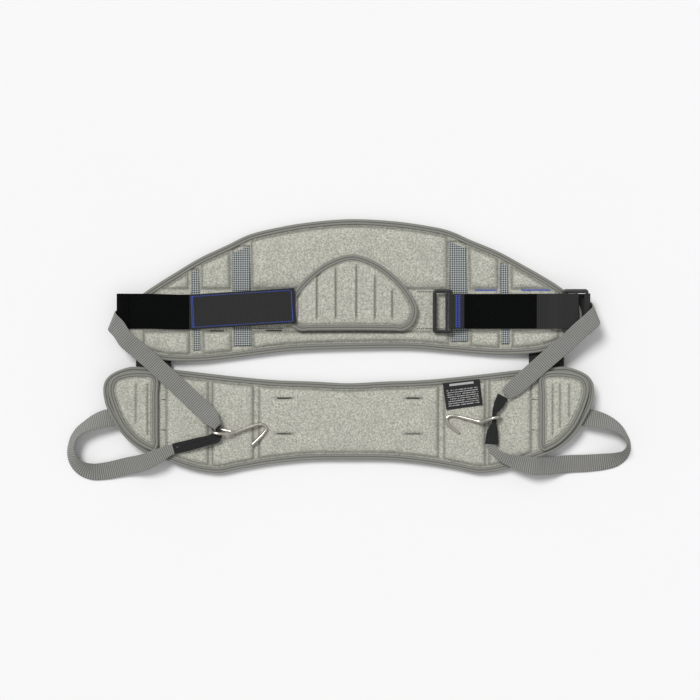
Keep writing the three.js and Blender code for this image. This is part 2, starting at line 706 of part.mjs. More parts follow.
function flipped(geometry) {
  const index = geometry.index.array;
  for (let i = 0; i < index.length; i += 3) {
    [index[i], index[i + 1]] = [index[i + 1], index[i]];
  }
  return geometry;
}

// How far the waist belt's lower edge comes down past the place where the right drop strap
// clears it, and how much higher the loop straps cross the edge of a shallower pad.
const BELT_REACH = Math.max(0, deep(30.6) - (BELT_MIDDLE - BELT_WIDTH / 2));
const EDGE_EASE = 15 * Math.max(0, 1 - DEPTH_RATIO);

// Where each turn ends, and the plan point that its drop strap heads for.
const turnEnd = (point, next) => [...point.slice(0, 2), onSeat(point).z, ...next];
const LEFT_TURN_END = turnEnd([-326, 17, 4.5], [-310, 4]);
const RIGHT_TURN_END = turnEnd([333.5, 31.5, 9.6 + 0.3 * BELT_REACH], [318, 16]);

function straps() {
  const leftZ = PILE_TOP + 1.6 + lift(across(335));
  const rightZ = SLIDER_Z + lift(SLIDER_X) + BAR + 6.3 + 0.3 * BELT_REACH;
  add("left_strap_turn", tipTurn(-1, 343, leftZ, LEFT_TURN_END), GREY_WEB);
  add("right_strap_turn", tipTurn(1, 352, rightZ, RIGHT_TURN_END), GREY_WEB);
  const left = [
    [-325, 16.2, 4.5],
    [-310, 4, 3.9],
    [-287, -16, 4.5],
    [-270, -32, 5.1],
    [-240, -60, 4.2],
    [-212, -86, 7.3],
    [-198, -99.5, 11.6],
    [-192.5, -107, 13.7, 0, 19],
  ];
  add("left_drop_strap", band(strapRows(left), 18), GREY_WEB);
  const right = [
    [332.4, 30.4, 9.6 + 0.3 * BELT_REACH],
    [318, 16, 7.1 + 0.8 * BELT_REACH],
    [288, -10, 5.6 + 0.1 * BELT_REACH],
    [262, -33, 5.8],
    [240, -52.5, 6.2],
    [229, -62, 7.1],
  ];
  add("right_drop_strap", band(strapRows(right), 14), GREY_WEB);
  add("left_loop_strap", band(strapRows(LEFT_LOOP), 34), GREY_WEB);
  add("right_loop_strap", band(strapRows(RIGHT_LOOP), 38), GREY_WEB);
}

const UNDER_SEAT = STRAP_LOW + 1.5 * STRAP_THICK + CLEARANCE - SEAT_PANEL_TOP;
const OVER_HIP = HIP_EDGE_TOP - SEAT_PANEL_TOP + 1.3;

const LEFT_LOOP = [
  [-248, -141.3, 2.9, 0, 12, 1.2],
  [-262, -145.5, 2.2, 0, 16],
  [-280, -154.5, OVER_HIP + EDGE_EASE / 2, -3, 22],
  [-300, -163, -3.8 + EDGE_EASE, -8],
  [-321, -168, -16.9, -5],
  [-356, -176, -26.8, -8],
  [-374.5, -177, -28, -16],
  [-391, -171, -27, -32],
  [-402.5, -157, -25.3, -50],
  [-404.5, -139, -24.2, -62],
  [-397, -121, -22.7, -62],
  [-383, -110.5, -20.3, -52],
  [-366, -102.5, -16.3, -30],
  [-351, -98.5, UNDER_SEAT - STRAP_THICK, -3],
  [-336, -97, UNDER_SEAT - 0.2 * STRAP_THICK],
  [-318, -97, UNDER_SEAT],
  [-300, -97, UNDER_SEAT],
];

const RIGHT_LOOP = [
  [205, -131.5, 6, 0, 15, 1.2],
  [204.7, -139, 5.2, 0, 13],
  [211, -148, 4.8, 12, 12],
  [224, -156.5, 4.8, 24, 17],
  [246, -163.6, 3.4, 8, 22],
  [265, -167.3, 2.6 + EDGE_EASE, -5],
  [287, -168.3, -8.3 + 2 * EDGE_EASE, -8],
  [314, -166, -22.4, -3],
  [345, -164.8, -26.9, 4],
  [366, -163, -27.7, 14],
  [386, -159, -26.7, 32],
  [399.5, -150, -24.7, 55],
  [404, -138, -23.6, 70],
  [399, -124, -22.6, 70],
  [387, -111.5, -20.6, 56],
  [368, -103, -16.3, 32],
  [351, -99, UNDER_SEAT - STRAP_THICK, 10],
  [336, -97, UNDER_SEAT - 0.2 * STRAP_THICK],
  [318, -97, UNDER_SEAT],
  [300, -97, UNDER_SEAT],
];

// ---------------------------------------------------------------- hooks and their sleeves
const LEFT_EYE = [-190, -117.6, 9.5];
const RIGHT_EYE = [208.2, -97.4, 10.2];
const PINCH_WIDTH = 6;
const PINCH_THICK = 3;
const SLEEVE_THICK = 3;

function sleeves() {
  const left = [
    [-192, -110.8, 11, 0, 13, 2],
    [-191, -113.5, 10.5, 0, PINCH_WIDTH, PINCH_THICK],
    [...LEFT_EYE, 0, PINCH_WIDTH, PINCH_THICK],
    [-190.8, -121.5, 7.5, 0, 8.5, PINCH_THICK],
    [-194.5, -126.6, 6.3, 0, 11, SLEEVE_THICK],
    [-203, -130, 5.4, 0, 14, SLEEVE_THICK],
    [-220, -134.3, 4.7, 0, 15.5, SLEEVE_THICK],
    [-238, -139, 3.7, 0, 16, SLEEVE_THICK],
    [-248, -141.3, 2.9, 0, 16, SLEEVE_THICK],
    [-255, -143.2, 2.2, 0, 16, SLEEVE_THICK],
  ];
  const right = [
    [221, -66.5, 7.7, 0, 17, SLEEVE_THICK],
    [214.5, -79, 8.3, 0, 15, SLEEVE_THICK],
    [208.6, -90.5, 9.3, 0, PINCH_WIDTH + 1, PINCH_THICK],
    [...RIGHT_EYE, 0, PINCH_WIDTH, PINCH_THICK],
    [208, -104.5, 9.3, 0, PINCH_WIDTH + 1, PINCH_THICK],
    [205.8, -117, 8.6, 0, 16, SLEEVE_THICK],
    [205, -131.5, 6.3, 0, 19.5, SLEEVE_THICK],
    [204.8, -136, 5.8, 0, 20, SLEEVE_THICK],
  ];
  for (const [name, rows, loop] of [
    ["left_hook_sleeve", left, LEFT_LOOP],
    ["right_hook_sleeve", right, RIGHT_LOOP],
  ]) {
    const room = 2 * CLEARANCE;
    const end = loop.slice(0, 2).map((row) => {
      const [x, y, z, tilt, width, thick = STRAP_THICK] = row;
      return [x, y, z, tilt, width + 2 * room, thick + room];
    });
    const body = band(strapRows(rows), 22);
    add(name, body.subtract(pocket(end, loop)), BLACK_WEB);
  }
}

// The hollow in a sleeve's end where the loop strap is held.
function pocket(end, loop) {
  const start = new THREE.Vector3(...loop[0]);
  const back = new THREE.Vector3(...loop[1]).sub(start).setLength(2 * CLEARANCE);
  const first = [...start.clone().sub(back).toArray(), ...end[0].slice(3)];
  return band(strapRows([first, ...end]), 6);
}

function tube(points, radius, steps) {
  const path = new THREE.CatmullRomCurve3(points);
  const shape = new THREE.Shape();
  shape.absarc(0, 0, radius, 0, 2 * Math.PI);
  const geometry = new THREE.ExtrudeGeometry(shape, {
    steps,
    curveSegments: 4,
    bevelEnabled: false,
    extrudePath: path,
  });
  return solid(geometry);
}

function ball(centre, radius) {
  return solid(new THREE.SphereGeometry(radius, 8, 5).translate(...centre.toArray()));
}

// A bent wire hook: a long eye around the sleeve, a shank and a returned tip.
function hook(eye, kink, opening, shank) {
  const centre = onSeat(eye);
  const start = onSeat(kink);
  const outward = centre.clone().sub(start).setZ(0).normalize();
  const end = centre.clone().addScaledVector(outward, EYE_HALF_OPENING + 1.5);
  const side = new THREE.Vector3(...opening).setLength(EYE_HALF_OPENING);
  const legs = [1, -1].map((way) => {
    const rows = [[0, 0], [0.32, 0.62], [0.62, 1], [0.76, 1], [0.93, 0.7], [1, 0]];
    const points = rows.map(([share, out]) =>
      start.clone().lerp(end, share).addScaledVector(side, way * out),
    );
    return tube(points, WIRE_RADIUS, 10);
  });
  const rod = tube([start, ...shank.map(onSeat)], WIRE_RADIUS, 16);
  const weld = WIRE_RADIUS * 1.12;
  return Manifold.union([...legs, rod, ball(start, weld), ball(end, weld)]);
}

function hooks() {
  const rest = CLEARANCE + WIRE_RADIUS;
  const left = hook(
    LEFT_EYE,
    [-168.5, -119, 8.5],
    [0, -0.42, 0.9],
    [
      [-155, -114.8, 6],
      [-134.1, -107.9, rest + 0.5],
      [-126.5, -108, rest],
      [-121.2, -113.5, rest],
      [-125, -120.5, rest],
      [-142.5, -137.8, rest],
    ],
  );
  add("left_hook", left, STEEL, 0.3, 1);
  const right = hook(
    RIGHT_EYE,
    [187.5, -103.2, 8.6],
    [0, 0, 1],
    [
      [173, -100, 5.7],
      [157, -96.2, rest + 0.4],
      [147.8, -94.6, rest],
      [140, -98.5, rest],
      [141.9, -106.6, rest],
      [158.3, -120.6, rest],
    ],
  );
  add("right_hook", right, STEEL, 0.3, 1);
}

// ---------------------------------------------------------------- pads on the lower pad
const HIP_GROOVES = {
  left: [[308.5, -106], [292, -123]],
  right: [[292.5, -123], [303, -112], [315.7, -98]],
};

function hipPads() {
  for (const [side, hand] of [[-1, "left"], [1, "right"]]) {
    const points = HIP_OUTLINE.map(([x, y]) => {
      const p = at([x, y]);
      return v2(SEAT_MIDDLE + side * p.x, p.y);
    });
    const outline = smooth(points, 40);
    const base = layer(inset(outline, LAYER_INSET), HIP_BODY_LOW, HIP_BODY_TOP);
    const bump = layer(inset(outline, TAPE_COVER + 1), HIP_BODY_LOW + 1, HIP_BODY_TOP + 1.8);
    const cuts = HIP_GROOVES[hand].map(([x, low]) => {
      const middle = side * across(x);
      const groove = rectangle(middle - 1.6, middle + 1.6, deep(low), deep(-48));
      return layer(groove, HIP_BODY_TOP + 0.6, HIGHEST);
    });
    add(`${hand}_hip_pad`, base.add(bump).subtract(Manifold.union(cuts)), VELOUR, 0.95);
    add(`${hand}_hip_binding`, binding(outline, HIP_LOW, HIP_EDGE_TOP), TAPE);
    const xs = [SEAT_MIDDLE + side * across(288), SEAT_MIDDLE + side * across(322)];
    const patch = rectangle(Math.min(...xs), Math.max(...xs), deep(-104), deep(-46));
    const fastening = layer(patch, HIP_PATCH_LOW, HIP_PATCH_LOW + PATCH_THICK);
    add(`${hand}_hip_hook_patch`, fastening, PATCH);
  }
}

function careLabel() {
  const corners = [[139.5, -86.9], [192.1, -79.6], [187.6, -41.9], [134.4, -48]].map(at);
  const low = above(SEAT_PANEL_TOP);
  add("care_label", layer(corners, low, low + 0.4), [40, 40, 43]);
}

// ---------------------------------------------------------------- the whole
kidneyPad();
backWebbing();
keepers();
linkStraps();
const leftTail = leftBelt();
const patchOffset = BELT_THICK / 2 + CLEARANCE + PATCH_THICK / 2 + 0.05;
add("left_belt_pile_patch", bandPatch(leftTail, 0, 4, patchOffset, BELT_WIDTH - 2), PATCH);
add("left_belt_hook_patch", bandPatch(leftTail, 4, 6, -patchOffset, BELT_WIDTH - 6), PATCH);
lumbarPad();
rightBelt();
rightFold();
buckles();
pad("seat", LOWER, seatPanels(), SEAT_PANEL_RISE, 0, []);
hipPads();
careLabel();
sleeves();
straps();
hooks();

export default group;
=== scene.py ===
"""Padded two-part support harness, laid flat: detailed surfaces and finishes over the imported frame."""

import math

import bpy
import numpy as np
from bpy.props import FloatProperty, FloatVectorProperty, IntProperty, PointerProperty
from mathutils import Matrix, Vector


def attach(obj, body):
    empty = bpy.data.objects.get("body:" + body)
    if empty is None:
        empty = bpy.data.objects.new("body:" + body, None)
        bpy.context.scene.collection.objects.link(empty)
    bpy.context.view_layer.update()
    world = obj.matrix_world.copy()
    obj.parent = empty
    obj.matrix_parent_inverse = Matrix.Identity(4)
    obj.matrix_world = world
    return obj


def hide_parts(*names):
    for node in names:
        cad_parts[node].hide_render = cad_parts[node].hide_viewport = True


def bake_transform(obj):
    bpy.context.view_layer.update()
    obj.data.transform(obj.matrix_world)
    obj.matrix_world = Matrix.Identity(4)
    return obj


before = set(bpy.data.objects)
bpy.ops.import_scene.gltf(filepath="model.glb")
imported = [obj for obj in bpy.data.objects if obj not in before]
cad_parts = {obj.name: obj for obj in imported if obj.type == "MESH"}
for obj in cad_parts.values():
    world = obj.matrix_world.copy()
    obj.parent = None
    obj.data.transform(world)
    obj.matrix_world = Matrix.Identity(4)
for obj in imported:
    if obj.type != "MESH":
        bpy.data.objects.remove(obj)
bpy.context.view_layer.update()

bl_info = {
    "name": "Padded support harness",
    "version": (1, 0, 0),
    "blender": (4, 5, 0),
    "location": "View3D > Sidebar > Harness",
    "description": "Builds the pads, webbing, buckles and hooks of a padded support harness",
    "category": "Add Mesh",
}

MM = 0.001

# ---------------------------------------------------------------- heights of the layers, mm
STRAP_LOW = 1.25
STRAP_THICK = 1.4
BELT_LOW = 2.95
BELT_THICK = 1.5
BINDING_LOW = 4.75
SHELL_LOW = 5.65
SHELL_HIGH = 6.45
FOAM_LOW = 6.75
LINING_TOP = 10.75
PAD_TOP = 11.65
PANEL_TOP = 15.75
SEAT_TOP = 14.75
FRONT_BELT = 12.7
LUMBAR_LOW = 16.05
LUMBAR_BODY = 17.05
LUMBAR_EDGE = 20.85
LUMBAR_TOP = 24.35
HIP_LOW = 12.05
HIP_BODY = 12.95
HIP_EDGE = 15.95
HIP_TOP = 17.75
BUCKLE_Z = 20.75
SLIDER_X = 325.0
SLIDER_Z = 18.35
BELT_MIDDLE = 56.0
BELT_WIDTH = 50.8
STRAP_WIDTH = 25.4
BACK_END = 318.0
CHANNEL = (28.1, 87.4)
UPPER_TURN = math.radians(1.2)
UPPER_PIVOT = 87.0
SEAT_MIDDLE = -1.9
LUMBAR_MIDDLE = 2.5

UPPER_HALF = [
    (0, 190), (58, 186.5), (103, 180), (145, 170.5), (177, 156), (217, 138), (255, 116), (275, 104),
    (304, 84.5), (328, 62), (334, 45), (330, 25), (305, 1.5), (275, -8.5), (223, -11.5), (183, -9),
    (136, -4), (90, 0.5), (0, 2),
]
SEAT_HALF = [
    (0, -48.3), (54, -45.7), (103, -44), (157, -39.4), (210, -33.5), (248, -29), (296, -25),
    (316, -24.5), (344, -36), (353, -49), (352, -74), (343, -96), (326, -123), (303, -143),
    (268, -158), (232, -171.5), (207, -177), (188, -178.5), (157, -172.5), (116, -165.5),
    (64, -160), (0, -159),
]
LUMBAR_HALF = [
    (0, 138.3), (34, 128), (61.6, 108.5), (81, 87.7), (93.5, 65.5), (95, 54.4), (89.3, 37.7),
    (75.5, 28), (60, 28), (0, 28.5),
]
HIP_OUTLINE = [
    (275.5, -40), (284, -32), (325, -32.5), (341, -41), (346, -56), (340, -82), (326, -111),
    (306, -133), (290, -143), (281, -146), (276, -140), (275.5, -118), (275.5, -66),
]
LUMBAR_CHANNELS = [
    (-75.5, 80), (-47.7, 109), (-20.5, 119), (9.3, 123), (36.2, 107), (61.2, 87),
]
VENTS = {"inner": (145, 169.5, 9, 154, 144), "outer": (219, 229, 4, 122, 117)}


# ---------------------------------------------------------------- curves and surfaces
def srgb(red, green, blue):
    """Linear colour of a display colour given from 0 to 255."""
    value = np.array([red, green, blue]) / 255
    linear = np.where(value <= 0.04045, value / 12.92, ((value + 0.055) / 1.055) ** 2.4)
    return tuple(float(v) for v in linear)


def step(value):
    """Smooth step: nought below nought, one above one, and 3v2 - 2v3 between."""
    v = np.clip(value, 0, 1)
    return v * v * (3 - 2 * v)


def lift(x):
    """Rise of the pads toward their tips: nought to 150 mm out, a parabola to 290, then a slope of 0.12."""
    out = np.maximum(np.abs(x) - 150, 0)
    return np.where(out < 140, 0.12 * out * out / 280, 0.12 * (out - 70))


def catmull(points, t, closed=False):
    """Centripetal Catmull-Rom curve: in each span a cubic whose end slopes come from the points on
    both sides, timed by the square roots of the distances. Returns places and slopes."""
    p = np.asarray(points, float)
    n = len(p)
    if closed:
        ring = np.vstack([p[-1], p, p[0], p[1]])
        spans = n
    else:
        ring = np.vstack([2 * p[0] - p[1], p, 2 * p[-1] - p[-2]])
        spans = n - 1
    place = np.clip(t, 0, 1) * spans
    i = np.minimum(place.astype(int), spans - 1)
    w = (place - i)[:, None]
    a, b, c, d = ring[i], ring[i + 1], ring[i + 2], ring[i + 3]
    gaps = [np.maximum(np.linalg.norm(q - r, axis=1), 1e-6)[:, None] ** 0.5
            for q, r in ((a, b), (b, c), (c, d))]
    s1 = ((b - a) / gaps[0] - (c - a) / (gaps[0] + gaps[1]) + (c - b) / gaps[1]) * gaps[1]
    s2 = ((c - b) / gaps[1] - (d - b) / (gaps[1] + gaps[2]) + (d - c) / gaps[2]) * gaps[1]
    c2 = -3 * b + 3 * c - 2 * s1 - s2
    c3 = 2 * b - 2 * c + s1 + s2
    return b + s1 * w + c2 * w**2 + c3 * w**3, s1 + 2 * c2 * w + 3 * c3 * w**2


def unit(vectors):
    return vectors / np.maximum(np.linalg.norm(vectors, axis=-1, keepdims=True), 1e-9)


def run_length(points):
    """Distance along a row of points, from its first."""
    return np.concatenate([[0], np.cumsum(np.linalg.norm(np.diff(points, axis=0), axis=1))])


def mesh_object(name, points, faces, strip=None, uv=None):
    """A piece from points in mm, its faces and, for each face corner, the strip coordinates in mm."""
    mesh = bpy.data.meshes.new(name)
    mesh.from_pydata((np.asarray(points) * MM).tolist(), [], faces)
    if strip is not None:
        layer = mesh.uv_layers.new(name="strip")
        layer.data.foreach_set("uv", (np.concatenate(strip) * MM).astype(np.float32).ravel())
    mesh.shade_smooth()
    piece = bpy.data.objects.new(name, mesh)
    bpy.context.scene.collection.objects.link(piece)
    return piece


def volume(points, faces):
    """Six times the signed volume of a closed surface: the sum of its corner triple products."""
    total = 0.0
    for face in faces:
        total += float(np.einsum("ij,ij->i", points[face[:, 0]],
                                 np.cross(points[face[:, 1]], points[face[:, 2]])).sum())
        if face.shape[1] == 4:
            total += float(np.einsum("ij,ij->i", points[face[:, 0]],
                                     np.cross(points[face[:, 2]], points[face[:, 3]])).sum())
    return total


def grid_surface(name, grids):
    """One piece from closed grids. Each is (points rows x columns x 3, strip coordinates, whether
    the rows also close on themselves). Columns always close; open rows end in flat caps."""
    points, faces, strips, start = [], [], [], 0
    for grid, strip, ring in grids:
        rows, columns = grid.shape[:2]
        i = np.arange(rows if ring else rows - 1)[:, None]
        j = np.arange(columns)[None, :]
        corners = [(i, j), (i, j + 1), (i + 1, j + 1), (i + 1, j)]
        quads = np.stack([np.broadcast_to((r % rows) * columns + c % columns, (len(i), columns))
                          for r, c in corners], -1).reshape(-1, 4)
        flat = grid.reshape(-1, 3)
        flip = volume(flat, [quads]) < 0
        uv = np.stack([strip[np.broadcast_to(r, (len(i), columns)), np.broadcast_to(c, (len(i), columns))]
                       for r, c in corners], -2).reshape(-1, 4, 2)
        if flip:
            quads, uv = quads[:, ::-1], uv[:, ::-1]
        points.append(flat)
        faces += (quads + start).tolist()
        strips.append(uv.reshape(-1, 2))
        if not ring:
            for row, turned in ((0, True), (rows - 1, False)):
                order = np.arange(columns)
                if turned != flip:
                    order = order[::-1]
                faces.append((row * columns + order + start).tolist())
                strips.append(strip[row][order])
        start += len(flat)
    return mesh_object(name, np.concatenate(points), faces, strips)


def flat_section(across, edge):
    """Flat strip with half-round edges, as shares of (width - thickness) and of thickness.
    Returns three rows: share of the flat, share of the thickness sideways, share upward."""
    flat = np.linspace(-0.5, 0.5, across)
    turn = np.linspace(90, -90, edge + 2)[1:-1]
    c, s = 0.5 * np.cos(np.radians(turn)), 0.5 * np.sin(np.radians(turn))
    half, none = np.full(edge, 0.5), np.zeros(across)
    return np.stack([
        np.concatenate([flat, half, -flat, -half]),
        np.concatenate([none, c, none, -c]),
        np.concatenate([none + 0.5, s, none - 0.5, -s]),
    ])


def band_grid(rows, steps, side=None, across=14, edge=3, sides=None, relief=None):
    """A strip carried along a curve through rows (x, y, z, width, thickness, tilt in degrees).
    Its side is level across the run, or the given side, or sides given row by row, then tilted
    about the run. Relief is a height added along the normal, from (along, across, face) in mm."""
    rows = np.asarray(rows, float)
    t = np.linspace(0, 1, steps + 1)
    place, slope = catmull(rows[:, :3], t)
    along = unit(slope)
    spot = t * (len(rows) - 1)
    mix = [np.interp(spot, np.arange(len(rows)), rows[:, k]) for k in (3, 4, 5)]
    if sides is not None:
        sides = np.asarray(sides, float)
        level = np.stack([np.interp(spot, np.arange(len(rows)), sides[:, k]) for k in range(3)], -1)
    elif side is not None:
        level = np.broadcast_to(np.asarray(side, float), along.shape)
    else:
        level = np.cross([0, 0, 1.0], along)
    level = unit(level - along * np.sum(level * along, 1, keepdims=True))
    up = np.cross(along, level)
    tilt = np.radians(mix[2])[:, None]
    wide = level * np.cos(tilt) + up * np.sin(tilt)
    normal = np.cross(along, wide)
    section = flat_section(across, edge)
    y = section[0][None] * (mix[0] - mix[1])[:, None] + section[1][None] * mix[1][:, None]
    z = section[2][None] * mix[1][:, None]
    length = run_length(place)
    if relief is not None:
        z = z + relief(length[:, None], y, np.sign(section[2])[None])
    grid = place[:, None] + wide[:, None] * y[..., None] + normal[:, None] * z[..., None]
    run = np.broadcast_to(length[:, None], y.shape)
    strip = np.stack([run, y], -1)
    return grid, np.concatenate([strip, strip[:, :1]], 1), False


def band(name, rows, steps, **more):
    return grid_surface(name, [band_grid(rows, steps, **more)])


def level_rows(xs, y, z, width, thick, climb=True):
    """Rows of a strip along X that follows the rise of the pads."""
    return [(x, y, z + (float(lift(x)) if climb else 0), width, thick, 0) for x in xs]


def tube_grid(points, radius, steps, sides=16, closed=False):
    """A round rod along a curve: circles of the radius across the run, turned as little as can be."""
    t = np.linspace(0, 1, steps + 1)
    place, slope = catmull(points, t, closed)
    along = unit(slope)
    rough = np.cross(along, [0.31, 0.17, 0.93])
    wide = unit(rough)
    normal = np.cross(along, wide)
    a = np.linspace(0, 2 * math.pi, sides, endpoint=False)
    size = radius if np.ndim(radius) else np.full(steps + 1, radius)
    ring = wide[:, None] * np.cos(a)[None, :, None] + normal[:, None] * np.sin(a)[None, :, None]
    grid = place[:, None] + ring * size[:, None, None]
    run = np.broadcast_to(run_length(place)[:, None], grid.shape[:2])
    strip = np.stack([run, np.broadcast_to(a[None] * float(np.mean(size)), grid.shape[:2])], -1)
    return grid, np.concatenate([strip, strip[:, :1]], 1), False


# ---------------------------------------------------------------- outlines
def outline(half, middle, count, turn=0.0):
    """Closed smooth outline through a half table mirrored about its middle, turned about the pivot."""
    right = np.asarray(half, float)
    left = right[1:-1][::-1] * [-1, 1]
    points, _ = catmull(np.vstack([right, left]), np.arange(count) / count, closed=True)
    return placed(even(points, count) + [middle, 0], turn)


def placed(points, turn):
    """Plan points turned about the upper pad's pivot."""
    c, s = math.cos(turn), math.sin(turn)
    x, y = points[:, 0], points[:, 1] - UPPER_PIVOT
    return np.stack([c * x - s * y, s * x + c * y + UPPER_PIVOT], -1)


def even(points, count):
    """The same closed line with its points at equal distances."""
    closed = np.vstack([points, points[:1]])
    run = run_length(closed)
    at = np.linspace(0, run[-1], count, endpoint=False)
    return np.stack([np.interp(at, run, closed[:, k]) for k in (0, 1)], -1)


def inward(points, reach=9.0):
    """Unit inward directions of a closed line, averaged over a few millimetres either way."""
    n = len(points)
    slope = np.roll(points, -1, 0) - np.roll(points, 1, 0)
    area = np.sum(points[:, 0] * np.roll(points[:, 1], -1) - np.roll(points[:, 0], -1) * points[:, 1])
    normal = unit(np.stack([-slope[:, 1], slope[:, 0]], -1) * np.sign(area))
    pitch = np.linalg.norm(np.roll(points, -1, 0) - points, axis=1).mean()
    span = max(1, int(reach / pitch))
    total = sum(np.roll(normal, k, 0) * (1 - abs(k) / (span + 1)) for k in range(-span, span + 1))
    return unit(total)


def edge_distance(points, x, y):
    """How far plan points lie from a closed line, by its nearest sample."""
    out = np.empty(len(x))
    for start in range(0, len(x), 4000):
        part = slice(start, start + 4000)
        dx = x[part, None] - points[None, :, 0]
        dy = y[part, None] - points[None, :, 1]
        out[part] = np.sqrt((dx * dx + dy * dy).min(1))
    return out


def slab(name, points, low, high, rings=14, relief=None, rise=lift):
    """A sheet over a closed outline: rings shrink toward the middle below and come back above,
    and both faces follow the rise of the pads. Relief is added to both faces."""
    centre = points.mean(0)
    share = np.linspace(0.004, 1, rings) ** 0.8
    plan = np.concatenate([share, share[::-1]])
    xy = centre + plan[:, None, None] * (points - centre)[None]
    z = np.concatenate([np.full(rings, low), np.full(rings, high)])[:, None] + rise(xy[..., 0])
    if relief is not None:
        z = z + relief(xy[..., 0], xy[..., 1])
    grid = np.concatenate([xy, z[..., None]], -1)
    strip = np.concatenate([xy, xy[:, :1]], 1)
    return grid_surface(name, [(grid, strip, False)])


def tape(name, points, low, high, cover=8.0, roll=0.45):
    """Folded edge tape carried round an outline: a flange below, a rounded edge, a roll, a stitch
    groove and a flange above that reaches inward, and the same shape back inside, 0.6 mm in."""
    profile = np.array([
        (cover, low), (5, low - 0.05), (2, low), (0.8, low + 0.1), (0.2, low + 0.6), (0, low + 1.4),
        (0, high - 1.5), (0.15, high - 0.7), (0.6, high - 0.1), (1.3, high + 0.6 * roll),
        (2.2, high + roll), (3.1, high + 0.7 * roll), (3.8, high - 0.1), (4.15, high - 0.35),
        (4.5, high - 0.12), (5.4, high + 0.16), (6.5, high + 0.14), (7.5, high - 0.02),
        (cover, high - 0.28), (cover - 0.1, high - 0.62), (4, high - 0.6), (0.7, high - 0.62),
        (0.62, high - 1.2), (0.62, low + 1.2), (0.7, low + 0.62), (cover - 0.1, low + 0.6),
    ])
    normal = inward(points)
    plan = points[:, None] + normal[:, None] * profile[None, :, :1]
    run = run_length(np.vstack([points, points[:1]]))
    pucker = 0.1 * np.sin(2 * math.pi * run[:-1] / 6.3) + 0.07 * np.sin(2 * math.pi * run[:-1] / 17)
    above = step((profile[:, 1] - (low + high) / 2) / 1.5) * step((cover - 0.05 - profile[:, 0]) / 1.5)
    z = profile[None, :, 1] + lift(plan[..., 0]) + pucker[:, None] * above[None]
    grid = np.concatenate([plan, z[..., None]], -1)
    across = np.broadcast_to(profile[None, :, 0], (len(points) + 1, len(profile)))
    strip = np.stack([np.broadcast_to(run[:, None], across.shape), across], -1)
    return grid_surface(name, [(grid, np.concatenate([strip, strip[:, :1]], 1), True)])


# ---------------------------------------------------------------- cushions
def co_of(piece):
    flat = np.empty(len(piece.data.vertices) * 3, np.float32)
    piece.data.vertices.foreach_get("co", flat)
    return flat.reshape(-1, 3).astype(float) / MM


def set_co(piece, points):
    piece.data.vertices.foreach_set("co", (points * MM).astype(np.float32).ravel())
    piece.data.update()


def baked(piece):
    """The piece's modifiers made part of its mesh."""
    graph = bpy.context.evaluated_depsgraph_get()
    graph.update()
    mesh = bpy.data.meshes.new_from_object(piece.evaluated_get(graph))
    old = piece.data
    piece.modifiers.clear()
    piece.data = mesh
    bpy.data.meshes.remove(old)
    mesh.name = piece.name


def waves(x, y, seed, length):
    """Soft unevenness: a sum of six sines in seeded directions, from about -1 to 1."""
    draw = np.random.default_rng(seed)
    total = 0
    for _ in range(6):
        angle, phase = draw.uniform(0, math.pi), draw.uniform(0, 2 * math.pi)
        k = 2 * math.pi / (length * draw.uniform(0.7, 1.5))
        total = total + np.sin(k * (x * math.cos(angle) + y * math.sin(angle)) + phase)
    return total / 3.2


